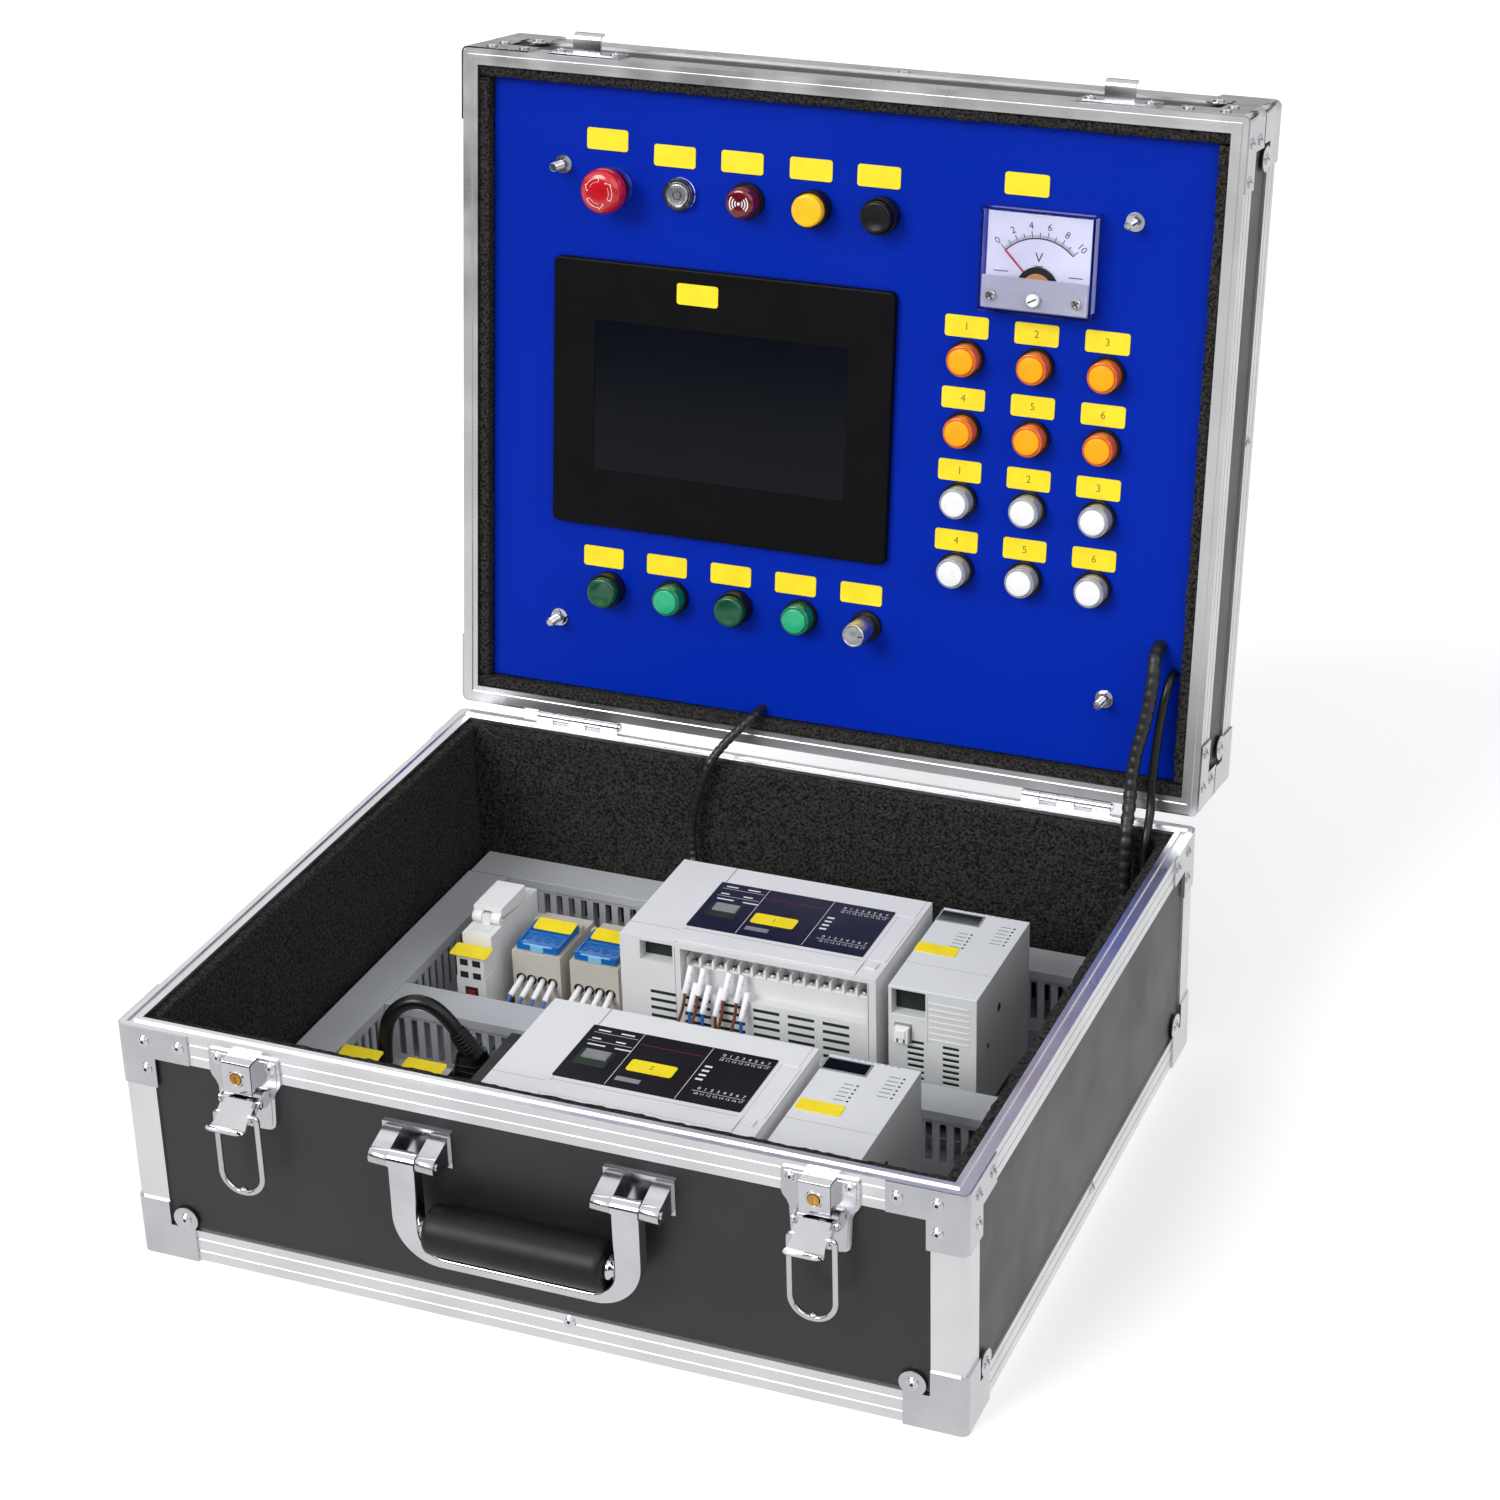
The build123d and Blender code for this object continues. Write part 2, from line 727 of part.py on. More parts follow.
def handle_frame():
    """The cast frame of the handle with the rod that carries the grip."""
    outer = handle_x + handle_leg_width / 2
    inner = handle_x - handle_leg_width / 2
    inner_bottom = handle_bottom + handle_bar_thickness
    top = handle_pivot_z
    wide = FilletPolyline((-outer, top), (-outer, handle_bottom), (outer, handle_bottom), (outer, top),
                          radius=handle_corner_radius)
    wide += Line((outer, top), (-outer, top))
    narrow = FilletPolyline((-inner, top + 9), (-inner, inner_bottom), (inner, inner_bottom),
                            (inner, top + 9), radius=handle_inner_radius)
    narrow += Line((inner, top + 9), (-inner, top + 9))
    outline = make_face(wide) - make_face(narrow)
    half = handle_depth / 2
    frame = Pos(0, handle_y + half, 0) * extrude(Plane.XZ * outline, handle_depth)
    frame = fillet(frame.edges().filter_by(lambda e: e.length > 20), handle_edge_round)
    for x in (-handle_x, handle_x):
        x0, x1 = x - handle_leg_width / 2, x + handle_leg_width / 2
        frame += bar((x0, handle_y, handle_pivot_z), (x1, handle_y, handle_pivot_z), half)
        hole = handle_pin_radius + pin_clearance
        frame -= bar((x0 - 1, handle_y, handle_pivot_z), (x1 + 1, handle_y, handle_pivot_z), hole)
    return frame + bar((-inner - 1, handle_y, grip_z), (inner + 1, handle_y, grip_z), grip_rod_radius)


def handle_grip():
    half = grip_length / 2
    grip = Pos(0, handle_y, grip_z) * Rot(0, 90, 0) * Cylinder(grip_radius, grip_length)
    grip = fillet(grip.edges(), 1.5)
    bore = grip_rod_radius + grip_clearance
    return grip - bar((-half - 1, handle_y, grip_z), (half + 1, handle_y, grip_z), bore)


# What stands in the base

def spacer_places():
    x = right - foam_end - spacer_inset
    y = back - foam_end - spacer_inset
    return [(sx * x, sy * y) for sx in (-1, 1) for sy in (-1, 1)]


def floor_foam_sheet():
    margin = foam_end + soft_gap
    z0 = floor_top + soft_gap
    sheet = slab(margin, z0, z0 + floor_foam)
    for x, y in spacer_places():
        sheet -= Pos(x, y, 0) * disc(spacer_radius + soft_gap, z0 - 1, z0 + floor_foam + 1)
    return sheet


def rail(y, ends):
    """A top-hat rail along x."""
    half, channel = rail_width / 2, rail_channel / 2
    z0, z1 = plate_top, rail_top
    piece = box(*ends, y - channel, y + channel, z0, z0 + rail_steel)
    for side in (-1, 1):
        web = sorted((y + side * channel, y + side * (channel - rail_steel)))
        flange = sorted((y + side * (channel - rail_steel), y + side * half))
        piece += box(*ends, *web, z0, z1)
        piece += box(*ends, *flange, z1 - rail_steel, z1)
    return piece


def mounting_plate():
    """The steel plate, its four spacers and its two rails."""
    x, y = right - foam_end - plate_margin, back - foam_end - plate_margin
    pieces = [box(-x, x, -y, y, plate_bottom, plate_top)]
    pieces += [Pos(px, py, 0) * disc(spacer_radius, floor_top, plate_bottom) for px, py in spacer_places()]
    pieces += [rail(rear_rail_y, rear_rail_ends), rail(front_rail_y, front_rail_ends)]
    return pieces


def duct_channel(length):
    """A slotted duct along x, centred on the origin, with its floor at z = 0."""
    half = duct_width / 2 - duct_cover - 0.1
    top = duct_height - duct_cover - soft_gap
    body = box(-length / 2, length / 2, -half, half, 0, top)
    body -= box(-length / 2 - 1, length / 2 + 1, -half + duct_wall, half - duct_wall, duct_wall, top + 1)
    count = int((length - duct_slot_pitch) / duct_slot_pitch)
    slots = [
        box(x - duct_slot_width / 2, x + duct_slot_width / 2, -half - 1, half + 1,
            duct_slot_bottom, duct_slot_top)
        for x in [(index - (count - 1) / 2) * duct_slot_pitch for index in range(count)]
    ]
    return body - Compound(solids_of(slots))


def duct_lid(length):
    """The snap-on cover of a duct."""
    half, top = duct_width / 2, duct_height
    cover = box(-length / 2, length / 2, -half, half, top - duct_cover_lip, top)
    return cover - box(-length / 2 - 1, length / 2 + 1, -half + duct_cover, half - duct_cover,
                       top - duct_cover_lip - 1, top - duct_cover)


def duct_places():
    """Each duct's place and length."""
    def middle(ends):
        return (ends[0] + ends[1]) / 2, ends[1] - ends[0]
    rear_x, rear_length = middle(rear_duct_ends)
    middle_x, middle_length = middle(middle_duct_ends)
    left_y, left_length = middle(left_duct_ends)
    return [
        (Pos(rear_x, rear_duct_y, plate_top), rear_length),
        (Pos(middle_x, middle_duct_y, plate_top), middle_length),
        (Pos(left_duct_x, left_y, plate_top) * Rot(0, 0, 90), left_length),
    ]


def middle_duct_slot(x):
    """The middle of the middle duct's slot that lies nearest to x."""
    length = middle_duct_ends[1] - middle_duct_ends[0]
    count = int((length - duct_slot_pitch) / duct_slot_pitch)
    first = (middle_duct_ends[0] + middle_duct_ends[1]) / 2 - (count - 1) / 2 * duct_slot_pitch
    return first + round((x - first) / duct_slot_pitch) * duct_slot_pitch


def rail_notch(x0, x1):
    half = rail_width / 2 + notch_clearance
    return box(x0 - 1, x1 + 1, -half, half, -1, rail_top - seat_z + notch_clearance)


def cover_pivot():
    """The (y, z) of a controller's cover hinge in the controller's own frame."""
    return controller_depth / 2 - cover_reach, controller_height - cover_pivot_drop


def controller_body():
    """One controller, centred on x and y, with its underside at z = 0."""
    hx, hy, top = controller_width / 2, controller_depth / 2, controller_height
    column = -hx + column_width
    body = box(-hx, hx, -hy, hy, 0, top) - rail_notch(-hx, hx)
    pivot_y, pivot_z = cover_pivot()
    step_y = pivot_y - cover_pivot_drop - cover_gap
    step_z = pivot_z - cover_drop - cover_gap
    end = hx - cover_end_wall
    body -= box(column, end, step_y, hy + 1, step_z, top + 1)
    pip = cover_pip_radius + pin_clearance
    body -= bar((column - 2, pivot_y, pivot_z), (end + 2, pivot_y, pivot_z), pip)
    body -= box(column + 3, hx - 5, -hy - 1, -hy + terminal_inset, terminal_ledge - terminal_panel, top - front_lip)
    body -= box(column + 3, hx - 5, -hy - 1, -hy + terminal_cavity, terminal_ledge, top - front_lip)
    for index in range(terminal_count + 1):
        x = column + 3.6 + index * terminal_pitch
        body += box(x, x + 1.2, -hy + terminal_inset, -hy + terminal_cavity, terminal_ledge, terminal_ledge + 5)
    body -= box(-hx + port_inset, column - 1.5, -hy - 1, -hy + port_depth, top - port_low, top - port_high)
    for row in range(louvre_rows):
        z = louvre_start + row * louvre_pitch
        for index in range(louvre_columns):
            x0 = column - louvre_overhang + index * (louvre_length + louvre_space)
            body -= box(x0, x0 + louvre_length, -hy - 1, -hy + louvre_depth, z, z + louvre_height)
    return body


def controller_cover():
    """The hinged cover over a controller's rear terminals, in the controller's own frame."""
    hx, hy, top = controller_width / 2, controller_depth / 2, controller_height
    pivot_y, pivot_z = cover_pivot()
    x0, x1 = -hx + column_width + cover_gap, hx - cover_end_wall - cover_gap
    cover = box(x0, x1, pivot_y, hy, top - cover_sheet, top)
    cover += box(x0, x1, hy - 1.6, hy, pivot_z - cover_drop, top)
    cover += bar((x0, pivot_y, pivot_z), (x1, pivot_y, pivot_z), cover_pivot_drop)
    return cover + bar((x0 - 1.5, pivot_y, pivot_z), (x1 + 1.5, pivot_y, pivot_z), cover_pip_radius)


def module_body():
    """One expansion module, centred on x and y, with its underside at z = 0."""
    hx, hy, top = module_width / 2, controller_depth / 2, module_height
    body = box(-hx, hx, -hy, hy, 0, top) - rail_notch(-hx, hx)
    port = -hx + module_port_inset
    body -= box(port, port + module_port_width, -hy - 1, -hy + module_port_depth,
                top - module_port_low, top - module_port_high)
    for row in range(module_louvre_rows):
        z = module_louvre_start + row * module_louvre_pitch
        for inset in module_louvre_insets:
            x0 = -hx + inset
            body -= box(x0, x0 + module_louvre_length, -hy - 1, -hy + louvre_depth, z, z + module_louvre_height)
    return body


def fuse_holder():
    """The fuse base on the rail, the pin of its lever and the lug that carries the pin."""
    x0, x1 = fuse_x - fuse_width / 2, fuse_x + fuse_width / 2
    low, high = seat_z + 33, seat_z + 55
    y = rear_rail_y
    body = side_profile([(y - 40, seat_z), (y + 40, seat_z), (y + 40, low), (y + 30, low),
                         (y + 30, high), (y - 30, high), (y - 30, low), (y - 40, low)], x0, x1)
    body -= Pos(0, y, seat_z) * rail_notch(x0, x1)
    body -= box(fuse_x - 3.2, fuse_x + 3.2, fuse_pivot_y + 5.5, fuse_pivot_y + 40, seat_z + 27, high + 1)
    half = fuse_lug / 2
    body += box(fuse_x - half, fuse_x + half, fuse_pivot_y - 2.5, fuse_pivot_y + 2.5, high, fuse_pivot_z + 2)
    pin_ends = (x0 + 1, fuse_pivot_y, fuse_pivot_z), (x1 - 1, fuse_pivot_y, fuse_pivot_z)
    pin = bar(*pin_ends, fuse_pin_radius)
    return [body - pin, pin]


def fuse_lever():
    """The lever that draws the fuse carrier out."""
    half = fuse_width / 2 - 0.2
    high = seat_z + 55
    reach = fuse_pivot_z - high - 0.3
    x0, x1 = fuse_x - half, fuse_x + half
    lever = box(x0, x1, fuse_pivot_y, fuse_lever_back, high + 0.3, fuse_lever_top)
    lever += bar((x0, fuse_pivot_y, fuse_pivot_z), (x1, fuse_pivot_y, fuse_pivot_z), reach)
    slot = fuse_lug / 2 + 0.3
    lever -= box(fuse_x - slot, fuse_x + slot, fuse_pivot_y - 6, fuse_pivot_y + 5, high, fuse_pivot_z + 4)
    lever += box(fuse_x - 2.8, fuse_x + 2.8, fuse_pivot_y + 6, fuse_pivot_y + 26, seat_z + 29, high + 1)
    hole = fuse_pin_radius + pin_clearance
    return lever - bar((x0 - 1, fuse_pivot_y, fuse_pivot_z), (x1 + 1, fuse_pivot_y, fuse_pivot_z), hole)


def block_wire_places(x):
    """Where the wires enter a distribution block."""
    first = x - (block_wire_count - 1) / 2 * block_wire_pitch
    return [first + index * block_wire_pitch for index in range(block_wire_count)]


def block_cover_pivot_z():
    return block_top + block_cover_lift + block_cover_thickness / 2


def distribution_block(x):
    half = block_width / 2
    body = box(x - half, x + half, block_front, block_back, seat_z, block_top)
    body -= Pos(0, rear_rail_y, seat_z) * rail_notch(x - half, x + half)
    for wire_x in block_wire_places(x):
        body -= bar((wire_x, block_front - 1, block_wire_height),
                    (wire_x, block_front + block_socket_depth, block_wire_height), block_socket_radius)
    y, z = block_cover_pivot_y, block_cover_pivot_z()
    for side in (-1, 1):
        x0, x1 = sorted((x + side * half, x + side * (half - 2)))
        body += box(x0, x1, y - 2, y + 2, block_top, z + 2)
    return body - bar((x - half + 0.5, y, z), (x + half - 0.5, y, z), 0.95)


def block_cover(x):
    """The clear blue cover of a distribution block, hinged at its back edge."""
    half = block_width / 2 - 2.3
    y, z, thick = block_cover_pivot_y, block_cover_pivot_z(), block_cover_thickness
    cover = box(x - half, x + half, block_cover_front, y, z - thick / 2, z + thick / 2)
    cover += bar((x - half, y, z), (x + half, y, z), thick / 2)
    return cover + bar((x - half - 1.5, y, z), (x + half + 1.5, y, z), 0.9)


def power_supply():
    """The power supply, its two terminal blocks and the outlet block beside it."""
    hx, hy = supply_width / 2, supply_depth / 2
    top = plate_top + supply_height
    pieces = [box(supply_x - hx, supply_x + hx, supply_y - hy, supply_y + hy, plate_top, top)]
    for x in fuse_block_places:
        pieces.append(box(x - 7, x + 7, supply_y + hy - 24, supply_y + hy - 10, top, top + 9))
    ox, oy = outlet_width / 2, outlet_depth / 2
    pieces.append(box(outlet_x - ox, outlet_x + ox, outlet_y - oy, outlet_y + oy, plate_top,
                      plate_top + outlet_height))
    return pieces


def lead_exit():
    """Where the lead leaves the plug's strain relief, and where the relief starts."""
    base = plate_top + outlet_height + plug_height
    return Vector(outlet_x, outlet_y, base), Vector(outlet_x - 7.5, outlet_y - 1, base + 12)


def power_plug():
    """The moulded plug with its tapered strain relief."""
    z0 = plate_top + outlet_height
    low = Pos(outlet_x, outlet_y, z0) * RectangleRounded(20, 22, 4)
    high = Pos(outlet_x, outlet_y, z0 + plug_height) * RectangleRounded(14, 15, 4)
    body = loft([low, high])
    start, end = lead_exit()
    relief = Plane(origin=(start + end) * 0.5, z_dir=end - start).location
    below = (end - start).length + 3
    return body + relief * Pos(0, 0, -1.5) * Cone(6.2, lead_radius + 0.8, below)


def network_switch():
    """The switch with its row of ports in the top."""
    hx, hy = switch_width / 2, switch_depth / 2
    top = plate_top + switch_height
    body = box(switch_x - hx, switch_x + hx, switch_y - hy, switch_y + hy, plate_top, top)
    pitch = (switch_depth - 6) / port_count
    for index in range(port_count):
        y = switch_y + (index - (port_count - 1) / 2) * pitch
        body -= box(switch_x - 2, switch_x + 2 + port_size, y - port_size / 2, y + port_size / 2, top - 9, top + 1)
    return body


# What the lid's panel holds; each device stands on the panel's face at z = 0

def at_panel(u, v):
    return lid_place * Pos(u, v, -control_recess)


def barrel(depth, bore):
    """A threaded barrel behind the panel with its nut and contact block."""
    body = disc(barrel_radius, -depth, 0) - disc(bore, -depth + 6, 1)
    block = box(-9, 9, -9, 9, -depth - 14, -depth)
    nut = Pos(0, 0, -control_sheet - 3) * extrude(RegularPolygon(11, 6), 2.6)
    return body, nut - disc(barrel_radius, -depth, 1), block


def button_housing():
    """The black bezel that a push button moves in."""
    body, nut, block = barrel(barrel_length, stem_radius + button_clearance)
    body += disc(ring_radius, 0, button_ring_height) - disc(button_radius + button_clearance, 0.8, button_ring_height + 1)
    body -= disc(stem_radius + button_clearance, -1, 1)
    return [body, nut, block]


def lamp_housing():
    body, nut, block = barrel(barrel_length, stem_radius)
    body += disc(ring_radius, 0, lamp_ring_height) - disc(lens_radius + button_clearance, 0.8, lamp_ring_height + 1)
    return [body, nut, block]


def power_housing():
    body, nut, block = barrel(barrel_length, stem_radius + button_clearance)
    body += disc(power_ring_radius, 0, power_ring_height)
    body -= disc(power_cap_radius + button_clearance, 2, power_ring_height + 1)
    body -= disc(stem_radius + button_clearance, -1, 3)
    return [body, nut, block]


def stop_housing():
    body, nut, block = barrel(barrel_length, stem_radius + 2 + button_clearance)
    body += disc(ring_radius + 0.6, 0, stop_collar_height) - disc(stem_radius + 2 + button_clearance, -1, 7)
    return [body, nut, block]


def knob_housing():
    body, nut, block = barrel(16, stem_radius + button_clearance)
    body += disc(barrel_radius + 1, 0, 2.4) - disc(stem_radius + button_clearance, -1, 3)
    return [body, nut, block]


def push_cap(radius, bottom, top, stem, edge):
    """A button's cap with the stem that reaches into its barrel."""
    cap = disc(radius, bottom, top)
    cap = fillet(cap.edges().group_by(Axis.Z)[-1], edge)
    return cap + disc(stem, -10, bottom)


def lens():
    glass = disc(lens_radius, 0.8, lamp_height)
    return fillet(glass.edges().group_by(Axis.Z)[-1], 2.4)


def stop_button():
    """The mushroom head with its stem."""
    head = disc(stop_head_radius, stop_head_bottom, stop_head_top)
    head = fillet(head.edges().group_by(Axis.Z)[-1], 4)
    head = fillet(head.edges().group_by(Axis.Z)[0], 3)
    return head + disc(stem_radius + 2, -12, stop_head_bottom + 1)


def knob():
    body = disc(knob_radius, knob_bottom, knob_top)
    body = fillet(body.edges().group_by(Axis.Z)[-1], 0.8)
    return body + disc(stem_radius, -8, knob_bottom)


def column_u(index):
    return first_column_u + index * column_pitch


def housing_places():
    """Every device of the two rows and the twelve lamps: where it stands and what holds it."""
    places = [
        (column_u(0), upper_row_v, stop_housing),
        (column_u(1), upper_row_v, power_housing),
        (column_u(2), upper_row_v, lamp_housing),
        (column_u(3), upper_row_v, button_housing),
        (column_u(4), upper_row_v, button_housing),
        (column_u(0), lower_row_v, button_housing),
        (column_u(1), lower_row_v, lamp_housing),
        (column_u(2), lower_row_v, button_housing),
        (column_u(3), lower_row_v, lamp_housing),
        (column_u(4), lower_row_v, knob_housing),
    ]
    for v in amber_rows_v + white_rows_v:
        places += [(u, v, lamp_housing) for u in lamp_columns_u]
    return places


def lens_places():
    """Where the lenses of each colour stand."""
    return {
        "amber_lenses": [(u, v) for v in amber_rows_v for u in lamp_columns_u],
        "white_lenses": [(u, v) for v in white_rows_v for u in lamp_columns_u],
        "signal_lenses": [(column_u(2), upper_row_v), (column_u(1), lower_row_v), (column_u(3), lower_row_v)],
    }


def stud_places():
    return [(u, v) for u in (-stud_x, stud_x) for v in (stud_low_v, stud_high_v)]


def control_panel():
    """The aluminium sheet with every cut-out."""
    x, y = right - foam_end - control_margin, back - foam_end - control_margin
    z1 = -control_recess
    sheet = Pos(0, back, 0) * box(-x, x, -y, y, z1 - control_sheet, z1)
    holes = [Pos(u, v, 0) * disc(device_hole_radius, z1 - control_sheet - 1, z1 + 1)
             for u, v, _ in housing_places()]
    holes += [Pos(u, v, 0) * disc(stud_radius + 0.25, z1 - control_sheet - 1, z1 + 1)
              for u, v in stud_places()]
    hx, hy = terminal_body_width / 2 + 0.5, terminal_body_height / 2 + 0.5
    holes.append(Pos(screen_u, screen_v, 0) * box(-hx, hx, -hy, hy, z1 - control_sheet - 1, z1 + 1))
    holes.append(Pos(meter_u, meter_v, 0)
                 * disc(meter_body_radius + 0.5, z1 - control_sheet - 1, z1 + 1))
    return lid_place * (sheet - Compound(solids_of(holes)))


def panel_studs():
    """The studs that stand on the lid's floor and clamp the panel between nuts."""
    deep = lid_depth - floor_top
    pieces = []
    for u, v in stud_places():
        stud = disc(stud_radius, -deep, stud_reach - control_recess)
        front = disc(nut_width / 2, -control_recess, nut_height - control_recess)
        rear_z = -control_recess - control_sheet
        rear = disc(nut_width / 2, rear_z - nut_height, rear_z)
        pieces.append(lid_place * Pos(u, v, 0) * (stud + front + rear))
    return pieces


def operator_panel():
    """The touch terminal's bezel and the body behind it."""
    bezel = extrude(RectangleRounded(bezel_width, bezel_height, bezel_radius), bezel_proud)
    bezel = fillet(bezel.edges().group_by(Axis.Z)[-1], 1.2)
    hx, hy = screen_width / 2, screen_height / 2
    bezel -= box(-hx, hx, -hy, hy, bezel_proud - screen_recess, bezel_proud + 1)
    bx, by = terminal_body_width / 2, terminal_body_height / 2
    bezel += box(-bx, bx, -by, by, -terminal_body_depth, 0)
    return at_panel(screen_u, screen_v) * bezel


def operator_screen():
    hx, hy = screen_width / 2 - 0.1, screen_height / 2 - 0.1
    z0 = bezel_proud - screen_recess
    return at_panel(screen_u, screen_v) * box(-hx, hx, -hy, hy, z0, z0 + screen_glass)


def meter_case():
    """The meter's clear cover."""
    hx, hy = meter_width / 2, meter_height / 2
    cover = box(-hx, hx, -hy, hy, 0, meter_proud)
    cover = fillet(cover.edges().group_by(Axis.Z)[-1], 1.5)
    w = meter_wall
    return at_panel(meter_u, meter_v) * (cover - box(-hx + w, hx - w, -hy + w, hy - w, -1, meter_proud - w))


def meter_dial():
    """The meter's dial and the round movement behind the panel."""
    inset = meter_wall + dial_margin
    hx, hy = meter_width / 2 - inset, meter_height / 2 - inset
    dial = box(-hx, hx, -hy, hy, 0, dial_height) + disc(meter_body_radius, -meter_body_depth, 0)
    dial -= Pos(0, -needle_drop, 0) * disc(needle_pin_radius + pin_clearance, dial_height - 4, dial_height + 1)
    return at_panel(meter_u, meter_v) * dial


def meter_needle():
    """The needle on its pin, at the scale's zero."""
    needle = box(-0.4, 0.4, -6, needle_length, 0.5, 1.1)
    needle += disc(needle_pin_radius + 0.8, 0.4, 1.4)
    needle += disc(needle_pin_radius, -3.5, 0.6)
    place = at_panel(meter_u, meter_v) * Pos(0, -needle_drop, dial_height)
    return place * Rot(0, 0, needle_rest_angle) * needle


# Wires and cables

def on_lid(u, v, h):
    """A point of the open lid: across, up from the hinge edge, and out from the rim's plane."""
    return tuple((lid_place * Pos(u, v, h)).position)


def cord(name, points, radius):
    """A tube of straight runs and tangent arcs, each arc as large as its runs allow."""
    points = [Vector(*point) for point in points]
    runs = [after - before for before, after in zip(points, points[1:])]
    radii = []
    for before, after in zip(runs, runs[1:]):
        half_turn = math.radians(before.get_angle(after)) / 2
        radii.append(0.45 * min(before.length, after.length) / math.tan(half_turn))
    path = FilletPolyline(*points, radius=radii)
    tube = sweep(Plane(origin=points[0], z_dir=runs[0]) * Circle(radius), path=path)
    share = tube.volume / (math.pi * radius ** 2 * path.length)
    print(name, "radii", [round(each, 1) for each in radii], "length", round(path.length, 1),
          "volume over section times length", round(share, 3))
    return tube


def power_lead():
    """The lead from the plug over to the power supply."""
    base, start = lead_exit()
    top = plate_top + supply_height
    return cord("power_lead", [
        tuple(start),
        tuple(start + (start - base).normalized() * 13.0),
        (-137.5, -43.5, 85.5),
        (-151.0, -45.5, 79.0),
        (-158.5, -47.5, 64.0),
        (-158.5, -47.5, top),
    ], lead_radius)


wrapped_cable_route = [
    on_lid(-37.0, 20.0, -8.0),
    on_lid(-37.0, 20.0, 2.0),
    on_lid(-43.0, 12.5, 9.5),
    (-50.5, 180.0, 149.5),
    (-57.0, 171.5, 140.0),
    (-62.0, 170.5, 126.0),
    (-67.5, 171.0, 109.0),
    (-70.0, 170.5, 92.0),
    (-68.0, 168.0, 76.0),
    (-63.0, 158.0, 65.0),
    (-60.0, 146.5, 58.0),
    (-60.5, 142.5, 46.0),
]

screen_cable_route = [
    on_lid(206.0, 78.0, -8.0),
    on_lid(206.0, 78.0, 0.5),
    on_lid(204.5, 65.0, 6.0),
    on_lid(202.5, 46.0, 5.0),
    on_lid(201.5, 26.0, 6.5),
    on_lid(202.0, 9.0, 8.5),
    (203.0, 183.0, 146.0),
    (203.5, 172.5, 136.0),
    (203.8, 170.5, 120.0),
    (204.0, 168.5, 100.0),
    (203.0, 166.0, 80.0),
    (200.5, 164.5, 60.0),
    (198.5, 164.2, 44.0),
    (195.0, 164.0, 33.0),
    (188.0, 164.0, 27.0),
]

bundle_route = [
    on_lid(197.0, 92.0, -8.0),
    on_lid(197.0, 92.0, 3.0),
    on_lid(198.5, 76.0, 8.5),
    on_lid(196.0, 54.0, 8.0),
    on_lid(191.0, 32.0, 8.5),
    on_lid(190.5, 11.0, 10.5),
    (191.5, 180.5, 150.5),
    (193.0, 169.5, 139.0),
    (193.5, 167.0, 121.0),
    (194.0, 165.0, 101.0),
    (195.0, 164.0, 81.0),
    (194.0, 164.0, 61.0),
]


def lid_cables():
    """The cables that cross from the lid to the base behind the rims."""
    return [
        cord("wrapped_cable", wrapped_cable_route, 2.75),
        cord("screen_cable", screen_cable_route, 2.5),
        cord("bundle", bundle_route, 4.0),
    ]


def sleeved_wire(name, start, sleeve_end, rest):
    """A wire with a marker sleeve on its first stretch."""
    sleeve = bar(start, sleeve_end, sleeve_radius)
    return [sleeve, cord(name, [sleeve_end] + rest, wire_radius)]


def control_wires():
    """The sleeved wires from the blocks and from the rear controller down to the middle duct."""
    pieces = []
    duct_face = middle_duct_y + duct_width / 2
    inside = duct_face - 8.0
    for block, x in enumerate(block_places):
        for index, wire_x in enumerate(block_wire_places(x)):
            lean = 1.5 * index - 4.0
            slot = middle_duct_slot(wire_x + lean)
            start = (wire_x, block_front + block_socket_depth - 0.7, block_wire_height)
            end = (wire_x + lean * 0.4, block_front - 12.0, block_wire_height - wire_drop)
            pieces += sleeved_wire(f"block_wire_{block}_{index}", start, end, [
                (wire_x + lean * 0.7, block_front - 17.5, block_wire_height - 12.0),
                (slot - lean * 0.2, block_front - 25.0, block_wire_height - 18.0),
                (slot, duct_face + 4.0, block_wire_height - 19.5),
                (slot, inside, block_wire_height - 20.0),
            ])
    front = rear_rail_y - controller_depth / 2
    first = rear_controller_x - controller_width / 2 + column_width + 8.2
    for index, (terminal, low) in enumerate(((0, 0), (0.5, 1), (1, 0), (1.5, 1), (2.5, 1), (3, 0), (4, 0), (4.5, 1))):
        x = first + terminal * terminal_pitch
        drop = 9.0 * low
        out = 1.8 + 2.3 * low
        top = seat_z + terminal_ledge + 3 - drop
        start = (x, front + 4.6 - out, top)
        end = (x - 2.0, front + 0.6 - out * 1.5, top - 15.0)
        slot = middle_duct_slot(x - 3.0) + duct_slot_width / 2 - wire_radius - 0.2
        pieces += sleeved_wire(f"terminal_wire_{index}", start, end, [
            (x - 2.6, front - 3.4 - 1.4 * low, top - 24.0 + low),
            (slot + 0.4, front - 8.0 - low, top - 34.0 + 4.0 * low),
            (slot, duct_face + 0.5, plate_top + 22.0 - low),
            (slot, inside, plate_top + 18.0 - low),
        ])
    return pieces


# Writing the parts

